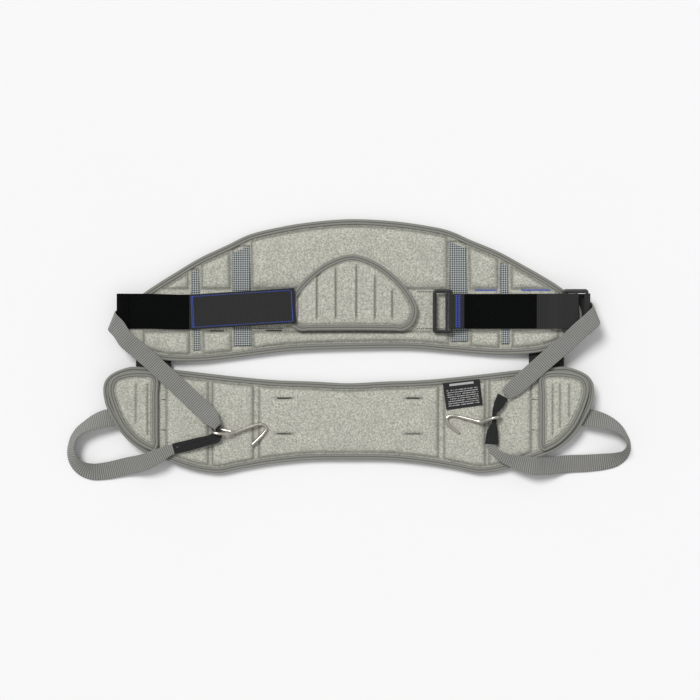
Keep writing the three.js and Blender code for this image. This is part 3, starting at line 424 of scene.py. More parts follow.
def cushion(name, points, low, edge_top, height, detail, crease, voxel, settings):
    """A stuffed pad. A thick slab over the outline is remeshed to an even grid, then flattened to its
    own thickness with its upper face raised to height(x, y); cloth held at the seams, edge and back
    swells under pressure; its movement is capped and kept below the frame's own top; then
    detail(x, y) presses in the seams."""
    shrunk = points + inward(points) * 1.2
    half = 2.6 * voxel
    piece = slab(name, shrunk, -half, half, rings=12, rise=np.zeros_like)
    grid = piece.modifiers.new("even grid", "REMESH")
    grid.mode = "VOXEL"
    grid.voxel_size = voxel * MM
    baked(piece)
    co = co_of(piece)
    x, y = co[:, 0], co[:, 1]
    share = np.clip(co[:, 2] / half * 0.5 + 0.5, 0, 1)
    edge = edge_distance(shrunk, x, y)
    rise, most, free = height(x, y, edge)
    co[:, 2] = low + 0.15 + share * (edge_top - low - 0.25) + lift(x) + share * rise * 0.8
    set_co(piece, co)
    start = co.copy()
    held = piece.vertex_groups.new(name="held")
    loose = (share > 0.9) & (free > 0.5)
    held.add(np.flatnonzero(~loose).tolist(), 1.0, "REPLACE")
    cloth = piece.modifiers.new("swell", "CLOTH")
    cloth.settings.quality = 5
    cloth.settings.mass = 0.3
    cloth.settings.tension_stiffness = 12
    cloth.settings.compression_stiffness = 12
    cloth.settings.bending_stiffness = 0.6
    cloth.settings.vertex_group_mass = "held"
    cloth.settings.use_pressure = True
    cloth.settings.uniform_pressure_force = settings.pressure
    cloth.settings.effector_weights.gravity = 0
    cloth.point_cache.frame_start = 1
    cloth.point_cache.frame_end = 20
    for number in range(1, 21):
        bpy.context.scene.frame_set(number)
    baked(piece)
    piece.vertex_groups.clear()
    bpy.context.scene.frame_set(1)
    moved = co_of(piece) - start
    far = np.linalg.norm(moved, axis=1, keepdims=True)
    limit = settings.swell_limit / MM
    co = start + moved * np.minimum(1, limit / np.maximum(far, 1e-6))
    top = edge_top + most + lift(co[:, 0])
    over = co[:, 2] - (top - 1.0)
    co[:, 2] = np.where(over > 0, top - 1.0 + 0.95 * (1 - np.exp(-np.maximum(over, 0))), co[:, 2])
    co[:, 2] = np.maximum(co[:, 2], low + lift(co[:, 0]))
    set_co(piece, co)
    finer = piece.modifiers.new("finer", "SUBSURF")
    finer.levels = finer.render_levels = 1
    baked(piece)
    co = co_of(piece)
    x, y = co[:, 0], co[:, 1]
    above = step((co[:, 2] - lift(x) - low - 0.3 * (edge_top - low)) / (0.5 * (edge_top - low)))
    co[:, 2] += above * detail(x, y, edge_distance(shrunk, x, y))
    co[:, 2] = np.maximum(co[:, 2], low + lift(x))
    set_co(piece, co)
    # Painted shade: a share from 0 to 1 along seams, grooves and the tape's edge, kept in the crease attribute
    # for the velour finish.
    painted_shade = piece.data.attributes.new("crease", "FLOAT", "POINT")
    dark = above * crease(x, y, edge_distance(shrunk, x, y))
    painted_shade.data.foreach_set("value", dark.astype(np.float32))
    piece.data.shade_smooth()
    return piece


def unturned(x, y):
    """Plan points in the upper pad's own, unturned, directions."""
    c, s = math.cos(-UPPER_TURN), math.sin(-UPPER_TURN)
    return c * x - s * (y - UPPER_PIVOT), s * x + c * (y - UPPER_PIVOT) + UPPER_PIVOT


def block(value, low, high, soft):
    """One between two limits, falling to nought over a soft width outside them."""
    return step((value - low) / soft + 0.5) * step((high - value) / soft + 0.5)


UPPER_PANELS = [(-141.5, 141.5), (174, 214.5), (234.5, 300), (-214.5, -174), (-300, -234.5)]
SEAT_PANELS = [(-130, 130), (138.5, 198), (204, 264), (-198, -138.5), (-264, -204)]


def inside_panels(px, panels, *limits):
    """How far inside the nearest panel a place is: the least of its distances from the panel's two
    sides and from the other limits, negative outside every panel."""
    sides = np.max([np.minimum(px - a, b - px) for a, b in panels], axis=0)
    return np.minimum.reduce([sides, *limits])


def upper_inside(x, y, edge):
    px, py = unturned(x, y)
    run = np.maximum(y - CHANNEL[1] - 1.5, CHANNEL[0] - 1.5 - y)
    return inside_panels(px, UPPER_PANELS, run, edge - 9.5)


def seat_inside(x, y, edge):
    return inside_panels(x - SEAT_MIDDLE, SEAT_PANELS, edge - 9.5)


def upper_height(x, y, edge):
    field = step(upper_inside(x, y, edge) / 5.5)
    return 4.6 * field, 5.0, (field > 0.12).astype(float)


def upper_painted_shade(x, y, edge):
    """Painted shade along the panels' edges and round the vent strips."""
    px, py = unturned(x, y)
    away = np.abs(px)
    line_shade = np.exp(-(((upper_inside(x, y, edge) - 0.2) / 1.9) ** 2)) * (edge > 8.5)
    for near, far, low, high, _ in VENTS.values():
        rim = np.maximum.reduce([near - away, away - far, low - py, py - high])
        line_shade = np.maximum(line_shade, np.exp(-((rim / 1.3) ** 2)))
    return np.maximum(line_shade, 0.8 * np.exp(-(((edge - 8.6) / 1.3) ** 2)))


def seat_painted_shade(x, y, edge):
    """Painted shade along the panels' edges, in the slits, beside the tape and beside the hip pads' inner edges.
    """
    px = np.abs(x - SEAT_MIDDLE)
    line_shade = np.exp(-(((seat_inside(x, y, edge) - 0.2) / 1.9) ** 2)) * (edge > 8.5)
    for level in (-70, -121.5):
        line_shade = np.maximum(line_shade, np.exp(-(((y - level) / 1.8) ** 2)) * block(px, 79, 108, 4))
    line_shade = np.maximum(line_shade, 0.7 * np.exp(-(((px - 275) / 1.6) ** 2)) * (edge > 8))
    return np.maximum(line_shade, 0.8 * np.exp(-(((edge - 8.6) / 1.3) ** 2)))


def lumbar_painted_shade(x, y, edge):
    # Painted shade beside the tape and along one side of each channel.
    line_shade = 0.8 * np.exp(-(((edge - 8.4) / 1.2) ** 2))
    for place, high in LUMBAR_CHANNELS:
        away = x - LUMBAR_MIDDLE - place
        line_shade = np.maximum(line_shade, np.exp(-(((away + 2.6) / 1.5) ** 2)) * block(y, 45, high, 9))
    return line_shade


def hip_painted_shade(side):
    def crease(x, y, edge):
        # Painted shade beside the tape and along the grooves.
        line_shade = 0.8 * np.exp(-(((edge - 8.6) / 1.2) ** 2))
        for place, low in HIP_GROOVES[side]:
            line = np.exp(-(((x - side * place) / 1.4) ** 2)) * block(y, low, -48, 5)
            line_shade = np.maximum(line_shade, 0.9 * line)
        return line_shade

    return crease


def upper_detail(x, y, edge):
    px, py = unturned(x, y)
    away = np.abs(px)
    dip = -1.3 * np.exp(-(((upper_inside(x, y, edge) + 0.6) / 1.7) ** 2)) * step((edge - 7) / 3)
    for near, far, low, high, _ in VENTS.values():
        dip = dip - 1.5 * block(away, near - 1, far + 1, 2) * block(py, low - 1, high + 1, 2)
        rim = np.maximum.reduce([near - away, away - far, low - py, py - high])
        dip = dip + 0.7 * np.exp(-(((rim - 2.4) / 1.2) ** 2)) * step((edge - 6) / 3)
    dip = dip - 0.5 * np.exp(-(((edge - 9) / 1.6) ** 2))
    return dip + 0.16 * waves(x, y, 3, 26) + 0.07 * waves(x, y, 4, 9)


def seat_height(x, y, edge):
    field = step(seat_inside(x, y, edge) / 4.5)
    return 3.8 * field, 4.0, (field > 0.12).astype(float)


def seat_detail(x, y, edge):
    px = x - SEAT_MIDDLE
    dip = -1.0 * np.exp(-(((seat_inside(x, y, edge) + 0.6) / 1.6) ** 2)) * step((edge - 7) / 3)
    for level in (-70, -121.5):
        length = block(np.abs(px), 79, 108, 6)
        dip = dip - 2.0 * np.exp(-(((y - level) / 3.2) ** 2)) * length
        dip = dip + 0.5 * np.exp(-(((y - level + 6) / 3) ** 2)) * length
    dip = dip - 0.4 * np.exp(-(((edge - 9) / 1.6) ** 2))
    return dip + 0.16 * waves(x, y, 7, 24) + 0.07 * waves(x, y, 8, 9)


def lumbar_height(x, y, edge):
    field = step((edge - 5) / 9)
    return 3.5 * field, 3.5, (field > 0.1).astype(float)


def lumbar_detail(x, y, edge):
    dip = 0
    for place, high in LUMBAR_CHANNELS:
        away = (x - LUMBAR_MIDDLE - place) / 3.6
        length = block(y, 45, high, 9)
        dip = dip - 2.9 * np.exp(-(away**6)) * length
        dip = dip + 0.4 * np.exp(-(((np.abs(away) - 1.5) / 0.4) ** 2)) * length
    dip = dip - 0.5 * np.exp(-(((edge - 8.5) / 1.5) ** 2))
    return dip + 0.12 * waves(x, y, 11, 17)


def hip_height(x, y, edge):
    field = step((edge - 5) / 8)
    return 1.8 * field, 1.8, (field > 0.1).astype(float)


HIP_GROOVES = {-1: [(308.5, -106), (292, -123)], 1: [(292.5, -123), (303, -112), (315.7, -98)]}


def hip_detail(side):
    def detail(x, y, edge):
        dip = 0
        for place, low in HIP_GROOVES[side]:
            away = (x - side * place) / 1.5
            length = block(y, low, -48, 5)
            dip = dip - 1.3 * np.exp(-(away**2)) * length + 0.4 * np.exp(-((np.abs(away) - 2.4) ** 2)) * length
        return dip - 0.6 * np.exp(-(((edge - 9) / 1.5) ** 2)) + 0.12 * waves(x, y, 13 + side, 14)

    return detail


# ---------------------------------------------------------------- shader helpers
def node(tree, kind, inputs=None, **settings):
    """A shader node with its settings, and its inputs set or linked."""
    made = tree.nodes.new("ShaderNode" + kind)
    for key, value in settings.items():
        setattr(made, key, value)
    for key, value in (inputs or {}).items():
        if isinstance(value, bpy.types.NodeSocket):
            tree.links.new(value, made.inputs[key])
        else:
            made.inputs[key].default_value = value
    return made


def calc(tree, operation, first, second=0.0, third=0.0):
    return node(tree, "Math", {0: first, 1: second, 2: third}, operation=operation).outputs[0]


def mix(tree, share, first, second):
    """A colour between two."""
    made = tree.nodes.new("ShaderNodeMix")
    made.data_type = "RGBA"
    for socket, value in ((made.inputs[0], share), (made.inputs[6], first), (made.inputs[7], second)):
        if isinstance(value, bpy.types.NodeSocket):
            tree.links.new(value, socket)
        elif hasattr(value, "__len__"):
            socket.default_value = (*value, 1.0)
        else:
            socket.default_value = value
    return made.outputs[2]


def group(name, inputs, outputs):
    """An empty shader node group with named sockets, with its input and output nodes."""
    tree = bpy.data.node_groups.new(name, "ShaderNodeTree")
    for label, kind, default in inputs:
        socket = tree.interface.new_socket(label, in_out="INPUT", socket_type="NodeSocket" + kind)
        if kind == "Float":
            socket.default_value = default
    for label in outputs:
        tree.interface.new_socket(label, in_out="OUTPUT", socket_type="NodeSocketFloat")
    return tree, tree.nodes.new("NodeGroupInput"), tree.nodes.new("NodeGroupOutput")


def weave_group():
    """Ribbed weave: ribs across the strip as a raised cosine of the distance along it, and warp
    threads as a cosine across it, shifted half a thread on every other rib."""
    tree, given, out = group(
        "ribbed weave",
        [("Along", "Float", 0), ("Across", "Float", 0), ("Rib pitch", "Float", 1.5),
         ("Thread pitch", "Float", 1.0)],
        ["Height", "Valley"],
    )
    turn = 2 * math.pi
    ribs = calc(tree, "DIVIDE", given.outputs["Along"], given.outputs["Rib pitch"])
    rib = calc(tree, "MULTIPLY_ADD", calc(tree, "COSINE", calc(tree, "MULTIPLY", ribs, turn)), 0.5, 0.5)
    shift = calc(tree, "MULTIPLY", calc(tree, "FLOOR", ribs), math.pi)
    threads = calc(tree, "DIVIDE", given.outputs["Across"], given.outputs["Thread pitch"])
    warp = calc(tree, "COSINE", calc(tree, "MULTIPLY_ADD", threads, turn, shift))
    height = calc(tree, "MULTIPLY_ADD", warp, 0.18, calc(tree, "MULTIPLY", rib, 0.8))
    tree.links.new(height, out.inputs["Height"])
    tree.links.new(calc(tree, "SUBTRACT", 1.0, rib), out.inputs["Valley"])
    return tree


def patchy_group():
    """Patchy wear and dust: two sizes of noise, spread about a half and kept between nought and one."""
    tree, given, out = group(
        "patchy", [("Position", "Vector", 0), ("Scale", "Float", 60), ("Contrast", "Float", 2)], ["Value"]
    )
    noise = node(tree, "TexNoise", {"Vector": given.outputs["Position"], "Scale": given.outputs["Scale"],
                                    "Detail": 4.0, "Roughness": 0.6})
    spread = calc(tree, "SUBTRACT", noise.outputs[0], 0.5)
    value = calc(tree, "MULTIPLY_ADD", spread, given.outputs["Contrast"], 0.5)
    tree.links.new(calc(tree, "MINIMUM", calc(tree, "MAXIMUM", value, 0.0), 1.0), out.inputs["Value"])
    return tree


def stitch_group():
    """A row of stitches: one where the strip coordinate is within half a width of the row and the
    place along it is in the first share of each pitch."""
    tree, given, out = group(
        "stitch row",
        [("Along", "Float", 0), ("Across", "Float", 0), ("Row", "Float", 0), ("Width", "Float", 0.8),
         ("Pitch", "Float", 3.2)],
        ["Thread"],
    )
    away = calc(tree, "ABSOLUTE", calc(tree, "SUBTRACT", given.outputs["Across"], given.outputs["Row"]))
    inside = calc(tree, "LESS_THAN", calc(tree, "MULTIPLY", away, 2.0), given.outputs["Width"])
    part = calc(tree, "FRACT", calc(tree, "DIVIDE", given.outputs["Along"], given.outputs["Pitch"]))
    tree.links.new(calc(tree, "MULTIPLY", inside, calc(tree, "LESS_THAN", part, 0.72)), out.inputs["Thread"])
    return tree


GROUPS = {}


def use_group(tree, key, inputs):
    if key not in GROUPS:
        makers = {"weave": weave_group, "patchy": patchy_group, "stitch": stitch_group}
        GROUPS[key] = makers[key]()
    made = tree.nodes.new("ShaderNodeGroup")
    made.node_tree = GROUPS[key]
    for label, value in inputs.items():
        if isinstance(value, bpy.types.NodeSocket):
            tree.links.new(value, made.inputs[label])
        else:
            made.inputs[label].default_value = value
    return made.outputs


class Finish:
    """A material under construction, with its position and strip coordinates in millimetres."""

    def __init__(self, name, roughness=0.9, sheen=0.0, metallic=0.0, specular=0.5):
        self.material = bpy.data.materials.new(name)
        self.material.use_nodes = True
        self.tree = self.material.node_tree
        self.tree.nodes.clear()
        self.shader = node(self.tree, "BsdfPrincipled")
        self.shader.inputs["Roughness"].default_value = roughness
        self.shader.inputs["Metallic"].default_value = metallic
        self.shader.inputs["Specular IOR Level"].default_value = specular
        self.shader.inputs["Sheen Weight"].default_value = sheen
        self.shader.inputs["Sheen Roughness"].default_value = 0.6
        output = node(self.tree, "OutputMaterial")
        self.tree.links.new(self.shader.outputs[0], output.inputs[0])
        self.position = node(self.tree, "TexCoord").outputs["Object"]

    def strip(self):
        uv = node(self.tree, "UVMap", uv_map="strip")
        scaled = node(self.tree, "Mapping", {"Vector": uv.outputs[0], "Scale": (1000, 1000, 1000)})
        parts = node(self.tree, "SeparateXYZ", {0: scaled.outputs[0]})
        return parts.outputs[0], parts.outputs[1]

    def plan(self):
        scaled = node(self.tree, "Mapping", {"Vector": self.position, "Scale": (1000, 1000, 1000)})
        parts = node(self.tree, "SeparateXYZ", {0: scaled.outputs[0]})
        return parts.outputs[0], parts.outputs[1]

    def patches(self, scale, contrast):
        return use_group(self.tree, "patchy",
                         {"Position": self.position, "Scale": scale, "Contrast": contrast})[0]

    def colour(self, socket):
        self.tree.links.new(socket, self.shader.inputs["Base Color"])

    def roughness(self, socket):
        self.tree.links.new(socket, self.shader.inputs["Roughness"])

    def bump(self, height, distance, strength=1.0):
        made = node(self.tree, "Bump", {"Height": height, "Distance": distance, "Strength": strength})
        self.tree.links.new(made.outputs[0], self.shader.inputs["Normal"])

    def calc(self, operation, first, second=0.0, third=0.0):
        return calc(self.tree, operation, first, second, third)

    def mix(self, share, first, second):
        return mix(self.tree, share, first, second)


def shade(colour, factor):
    return tuple(min(1.0, c * factor) for c in colour)


def lining_finish(pads):
    """Brushed velour: a fine speckle of pale and shaded pile, larger crushed patches, a nap, and painted shade
    along the seams, grooves and tape from the crease attribute.
    """
    f = Finish("brushed velour", 0.95, sheen=0.25, specular=0.15)
    base = tuple(pads.lining_colour)
    speckle = f.patches(430, 3.4)
    crushed = f.patches(52, 2.2)
    painted_shade = node(f.tree, "Attribute", attribute_name="crease").outputs["Fac"]
    colour = f.mix(speckle, shade(base, 0.56), shade(base, 1.3))
    colour = f.mix(f.calc("MULTIPLY", crushed, 0.42), colour, shade(base, 0.62))
    # Painted shade: darkens the velour where the crease attribute marks seams, grooves and the tape's edge.
    f.colour(f.mix(f.calc("MULTIPLY", painted_shade, 0.72), colour, shade(base, 0.2)))
    nap = f.patches(1100, 2.0)
    f.bump(f.calc("MULTIPLY_ADD", speckle, 0.6, nap), 0.00035, 0.8)
    return f.material


def tape_finish(pads):
    """Ribbed edge tape: fine cross ribs with painted shade between them, one row of paler lock stitches along
    the flange, and painted shade in the stitch groove and at the flange's inner edge.
    """
    f = Finish("edge tape", 0.8, sheen=0.15, specular=0.3)
    base = tuple(pads.tape_colour)
    along, across = f.strip()
    weave = use_group(f.tree, "weave", {"Along": along, "Across": across, "Rib pitch": 1.3,
                                        "Thread pitch": 1.1})
    thread = use_group(f.tree, "stitch", {"Along": along, "Across": across, "Row": 6.2, "Width": 1.0,
                                          "Pitch": 3.0})[0]
    inner = use_group(f.tree, "stitch", {"Along": along, "Across": across, "Row": 2.4, "Width": 0.7,
                                         "Pitch": 3.0})[0]
    # Painted shade in the stitch groove and at the flange's inner edge.
    groove_shade = f.calc("LESS_THAN", f.calc("ABSOLUTE", f.calc("SUBTRACT", across, 4.1)), 0.45)
    rim = f.calc("GREATER_THAN", across, 7.45)
    dark = f.calc("MAXIMUM", groove_shade, rim)
    # Painted shade between the ribs.
    colour = f.mix(f.calc("MULTIPLY", weave["Valley"], 0.5), shade(base, 1.12), shade(base, 0.6))
    colour = f.mix(f.calc("MULTIPLY", f.patches(90, 1.6), 0.3), colour, shade(base, 0.72))
    colour = f.mix(f.calc("MULTIPLY", dark, 0.75), colour, shade(base, 0.22))
    colour = f.mix(f.calc("MULTIPLY", f.calc("MAXIMUM", thread, inner), 0.55), colour, shade(base, 1.5))
    f.colour(colour)
    f.bump(f.calc("MULTIPLY_ADD", thread, 0.9, weave["Height"]), 0.0003, 0.9)
    return f.material


def webbing_finish(name, base, rib, thread, contrast, roughness=0.75):
    """Woven strap: ribs across its length, with painted shade between them, and darker patches at random."""
    f = Finish(name, roughness, sheen=0.12, specular=0.35)
    along, across = f.strip()
    weave = use_group(f.tree, "weave", {"Along": along, "Across": across, "Rib pitch": rib,
                                        "Thread pitch": thread})
    # Painted shade between the ribs.
    colour = f.mix(f.calc("MULTIPLY", weave["Valley"], contrast), shade(base, 1.3), shade(base, 0.3))
    colour = f.mix(f.calc("MULTIPLY", f.patches(120, 1.8), 0.3), colour, shade(base, 0.6))
    f.colour(colour)
    f.bump(weave["Height"], 0.0007, 1.0)
    return f.material


def pile_finish(hard):
    """Loop pile fastening: a dense fuzz of tiny loops, nearly black, with a little lint."""
    f = Finish("fastening pile", 1.0, sheen=0.0, specular=0.08)
    base = tuple(hard.pile_colour)
    loops = f.patches(1500, 3.0)
    lint = f.calc("GREATER_THAN", f.patches(500, 2.4), 0.96)
    colour = f.mix(loops, shade(base, 0.25), shade(base, 1.6))
    f.colour(f.mix(f.calc("MULTIPLY", lint, 0.15), colour, (0.2, 0.2, 0.2)))
    f.bump(loops, 0.0007, 1.0)
    return f.material


def vent_finish(pads):
    """Spacer mesh: dark ground with pale diamond threads, from a product of two diagonal sines, and painted
    shade in its openings.
    """
    f = Finish("spacer mesh", 0.7, specular=0.3)
    base = tuple(pads.vent_colour)
    x, y = f.plan()
    k = 2 * math.pi / 6.4
    first = f.calc("SINE", f.calc("MULTIPLY", f.calc("ADD", x, y), k))
    second = f.calc("SINE", f.calc("MULTIPLY", f.calc("SUBTRACT", x, y), k))
    cell = f.calc("MULTIPLY_ADD", f.calc("MULTIPLY", first, second), 0.5, 0.5)
    hole_shade = f.calc("GREATER_THAN", cell, 0.6)
    soft = f.calc("MULTIPLY_ADD", f.patches(900, 2.0), 0.25, 0.0)
    colour = f.mix(cell, shade(base, 3.4), shade(base, 0.5))
    # Painted shade in the mesh openings.
    colour = f.mix(f.calc("MULTIPLY", hole_shade, 0.92), colour, shade(base, 0.08))
    f.colour(f.mix(soft, colour, shade(base, 0.9)))
    f.bump(f.calc("SUBTRACT", 1.0, cell), 0.0006, 1.0)
    return f.material


def shell_finish(pads):
    """Coated nylon of the pads' backs: a small basket weave in plan with faint creases."""
    f = Finish("nylon shell", 0.62, specular=0.4)
    base = tuple(pads.shell_colour)
    x, y = f.plan()
    k = 2 * math.pi / 0.9
    weft = f.calc("SINE", f.calc("MULTIPLY", x, k))
    warp = f.calc("SINE", f.calc("MULTIPLY", y, k))
    basket = f.calc("MULTIPLY_ADD", f.calc("MULTIPLY", weft, warp), 0.5, 0.5)
    crease = f.patches(28, 3.0)
    colour = f.mix(basket, shade(base, 0.7), shade(base, 1.3))
    f.colour(f.mix(f.calc("MULTIPLY", crease, 0.35), colour, shade(base, 1.7)))
    f.roughness(f.calc("MULTIPLY_ADD", crease, 0.2, 0.5))
    f.bump(f.calc("MULTIPLY_ADD", crease, 1.5, basket), 0.0003, 0.8)
    return f.material


def sleeve_finish(hard):
    """Gathered nylon sleeve: a fine rib with painted shade between the ribs, and paler patches at random."""
    f = Finish("sleeve fabric", 0.8, sheen=0.15, specular=0.3)
    base = tuple(hard.pile_colour)
    along, across = f.strip()
    weave = use_group(f.tree, "weave", {"Along": along, "Across": across, "Rib pitch": 1.1,
                                        "Thread pitch": 0.9})
    colour = f.mix(f.patches(260, 2.6), shade(base, 0.6), shade(base, 3.0))
    # Painted shade between the ribs.
    f.colour(f.mix(f.calc("MULTIPLY", weave["Valley"], 0.5), colour, shade(base, 0.5)))
    f.bump(weave["Height"], 0.0004, 0.9)
    return f.material


def plastic_finish(hard):
    """Moulded nylon: a fine spark texture, duller where it is rubbed."""
    f = Finish("moulded plastic", 0.38, specular=0.5)
    base = tuple(hard.plastic_colour)
    grain = f.patches(1600, 1.6)
    rub = f.patches(120, 2.4)
    f.colour(f.mix(f.calc("MULTIPLY", rub, 0.4), base, shade(base, 2.2)))
    f.roughness(f.calc("MULTIPLY_ADD", rub, 0.25, 0.28))
    f.bump(grain, 0.00012, 0.6)
    return f.material


def wire_finish(hard):
    """Bright drawn wire: draw lines along its length and small dull spots."""
    f = Finish("drawn steel", 0.25, metallic=1.0)
    base = tuple(hard.wire_colour)
    along, across = f.strip()
    lines = f.calc("MULTIPLY_ADD", f.calc("SINE", f.calc("MULTIPLY", across, 9.0)), 0.5, 0.5)
    spots = f.patches(400, 2.8)
    f.colour(f.mix(f.calc("MULTIPLY", spots, 0.5), base, shade(base, 0.45)))
    f.roughness(f.calc("MULTIPLY_ADD", spots, 0.25, 0.16))
    f.bump(f.calc("MULTIPLY_ADD", spots, 0.4, lines), 0.00004, 0.6)
    return f.material


def thread_finish(name, base):
    """Sewing thread: a two-ply twist with a slight gloss."""
    f = Finish(name, 0.55, sheen=0.1)
    twist = f.patches(1800, 2.6)
    f.colour(f.mix(twist, shade(base, 0.6), shade(base, 1.35)))
    f.bump(twist, 0.0001, 0.8)
    return f.material


def label_finish():
    """Woven label: black ground, rows of short pale marks that spell nothing, one plain bar."""
    f = Finish("woven label", 0.7, sheen=0.1, specular=0.3)
    u, v = f.strip()
    margin = f.calc("MULTIPLY", f.calc("GREATER_THAN", u, 4.0), f.calc("LESS_THAN", u, 49.0))
    rows = f.calc("FRACT", f.calc("DIVIDE", v, 3.1))
    row = f.calc("MULTIPLY", f.calc("GREATER_THAN", rows, 0.35), f.calc("LESS_THAN", rows, 0.72))
    place = node(f.tree, "CombineXYZ", {0: u, 1: f.calc("MULTIPLY", f.calc("FLOOR", f.calc("DIVIDE", v,
                                                                                           3.1)), 17.3)})
    marks = node(f.tree, "TexNoise", {"Vector": place.outputs[0], "Scale": 0.9, "Detail": 1.0})
    dashes = f.calc("GREATER_THAN", marks.outputs[0], 0.44)
    body = f.calc("MULTIPLY", f.calc("GREATER_THAN", v, 4.0), f.calc("LESS_THAN", v, 28.6))
    lines = f.calc("MULTIPLY", f.calc("MULTIPLY", row, dashes), f.calc("MULTIPLY", body, margin))
    high = f.calc("MULTIPLY", f.calc("GREATER_THAN", v, 32.5), f.calc("LESS_THAN", v, 35.6))
    wide = f.calc("MULTIPLY", f.calc("GREATER_THAN", u, 9.0), f.calc("LESS_THAN", u, 44.0))
    marked = f.calc("MAXIMUM", lines, f.calc("MULTIPLY", high, wide))
    weave = use_group(f.tree, "weave", {"Along": u, "Across": v, "Rib pitch": 0.6, "Thread pitch": 0.6})
    # Painted shade between the weave's ribs.
    ground = f.mix(weave["Valley"], srgb(34, 34, 37), srgb(14, 14, 16))
    f.colour(f.mix(f.calc("MULTIPLY", marked, 0.85), ground, srgb(188, 188, 186)))
    f.bump(f.calc("MULTIPLY_ADD", marked, 0.8, weave["Height"]), 0.00012, 0.8)
    return f.material


def floor_finish(stage):
    """Matt white paper with a faint unevenness."""
    f = Finish("white paper", 0.95, specular=0.05)
    base = tuple(stage.floor_colour)
    f.colour(f.mix(f.patches(3, 1.0), base, shade(base, 0.985)))
    return f.material


FINISHES = {}


def finish(key):
    """A finish by name, made the first time it is asked for."""
    if key not in FINISHES:
        scene = bpy.context.scene
        pads, hard, web = scene.harness_pads, scene.harness_hardware, scene.harness_webbing
        makers = {
            "lining": lambda: lining_finish(pads),
            "edge_tape": lambda: tape_finish(pads),
            "vent_mesh": lambda: vent_finish(pads),
            "shell": lambda: shell_finish(pads),
            "grey_webbing": lambda: webbing_finish(
                "grey webbing", tuple(web.grey_colour), web.rib_pitch / MM, 1.2, 0.85),
            "black_webbing": lambda: webbing_finish(
                "black webbing", tuple(web.black_colour), 2.6, 1.3, 0.8),
            "fastening": lambda: pile_finish(hard),
            "sleeve": lambda: sleeve_finish(hard),
            "buckle_plastic": lambda: plastic_finish(hard),
            "hook_wire": lambda: wire_finish(hard),
            "label": label_finish,
            "blue_thread": lambda: thread_finish("blue thread", tuple(web.thread_colour)),
            "dark_thread": lambda: thread_finish("dark thread", srgb(38, 38, 40)),
        }
        FINISHES[key] = makers[key]()
    return FINISHES[key]


def dress(piece, key, body=None, nodes=(), slot=None):
    """Finish, body and frame nodes of a piece."""
    piece.data.materials.clear()
    piece.data.materials.append(finish(key))
    if nodes:
        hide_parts(*nodes)
    slot or key
    if body:
        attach(piece, body)
    return piece


# ---------------------------------------------------------------- stitches
def stitch_grids(path, normal, pitch=3.0, width=0.8, share=0.75):
    """Lock stitches along a path: at each pitch a short rod, six-sided, thick in the middle and
    sunk at both ends, laid in the direction of the path on the side of the normal."""
    path, normal = np.asarray(path, float), np.asarray(normal, float)
    run = run_length(path)
    count = max(1, int(run[-1] / pitch))
    at = (np.arange(count)[:, None] + 0.5 + np.linspace(-0.5, 0.5, 5)[None] * share) * run[-1] / count
    place = np.stack([np.interp(at, run, path[:, k]) for k in range(3)], -1)
    up = unit(np.stack([np.interp(at, run, normal[:, k]) for k in range(3)], -1))
    along = unit(place[:, -1:] - place[:, :1]) + 0 * up
    wide = np.cross(up, along)
    size = width / 2 * np.array([0.35, 0.85, 1.0, 0.85, 0.35])[None, :, None, None]
    a = np.linspace(0, 2 * math.pi, 6, endpoint=False)
    ring = wide[:, :, None] * np.cos(a)[None, None, :, None] + 0.7 * up[:, :, None] * np.sin(a)[None, None,
                                                                                                :, None]
    centre = place + up * width * np.array([-0.12, 0.12, 0.2, 0.12, -0.12])[None, :, None]
    grids = centre[:, :, None] + ring * size
    strip = np.zeros((5, 7, 2))
    return [(grid, strip, False) for grid in grids]


def straight_path(first, second, count=12):
    share = np.linspace(0, 1, count)[:, None]
    return np.asarray(first, float) * (1 - share) + np.asarray(second, float) * share


def up_along(path):
    return np.broadcast_to([0, 0, 1.0], path.shape)


# ---------------------------------------------------------------- user settings
class HARNESS_PG_pads(bpy.types.PropertyGroup):
    """Sizes and colours of the padded pieces"""

    grid: FloatProperty(name="Grid size", description="Spacing of the cloth grid on the two large pads",
                        default=0.0042, min=0.003, max=0.01, subtype="DISTANCE", unit="LENGTH")
    pressure: FloatProperty(name="Pressure", description="How hard the padding swells", default=4.0, min=0,
                            max=20)
    swell_limit: FloatProperty(name="Swell limit", description="Most that a point of the cover may move",
                               default=0.005, min=0, max=0.02, subtype="DISTANCE", unit="LENGTH")
    lining_colour: FloatVectorProperty(name="Lining", description="Colour of the velour", size=3, min=0,
                                       max=1,
                                       subtype="COLOR", default=srgb(190, 190, 178))
    tape_colour: FloatVectorProperty(name="Edge tape", description="Colour of the edge tape", size=3, min=0,
                                     max=1,
                                     subtype="COLOR", default=srgb(134, 134, 127))
    vent_colour: FloatVectorProperty(name="Vent mesh", description="Colour of the spacer mesh", size=3, min=0,
                                     max=1, subtype="COLOR", default=srgb(108, 112, 112))
    shell_colour: FloatVectorProperty(name="Outer shell", description="Colour of the pads' backs", size=3,
                                      min=0,
                                      max=1, subtype="COLOR", default=srgb(52, 54, 57))


class HARNESS_PG_webbing(bpy.types.PropertyGroup):
    """Weave and colours of the webbing"""

    rib_pitch: FloatProperty(name="Rib pitch", description="Distance between the ribs of the grey webbing",
                             default=0.0029, min=0.0005, max=0.01, subtype="DISTANCE", unit="LENGTH")
    grey_colour: FloatVectorProperty(name="Grey webbing", description="Colour of the grey straps", size=3,
                                     min=0,
                                     max=1, subtype="COLOR", default=srgb(146, 146, 141))
    black_colour: FloatVectorProperty(name="Black webbing", description="Colour of the belts", size=3, min=0,
                                      max=1, subtype="COLOR", default=srgb(31, 32, 31))
    thread_colour: FloatVectorProperty(name="Thread", description="Colour of the contrast stitching", size=3,
                                       min=0, max=1, subtype="COLOR", default=srgb(62, 92, 205))


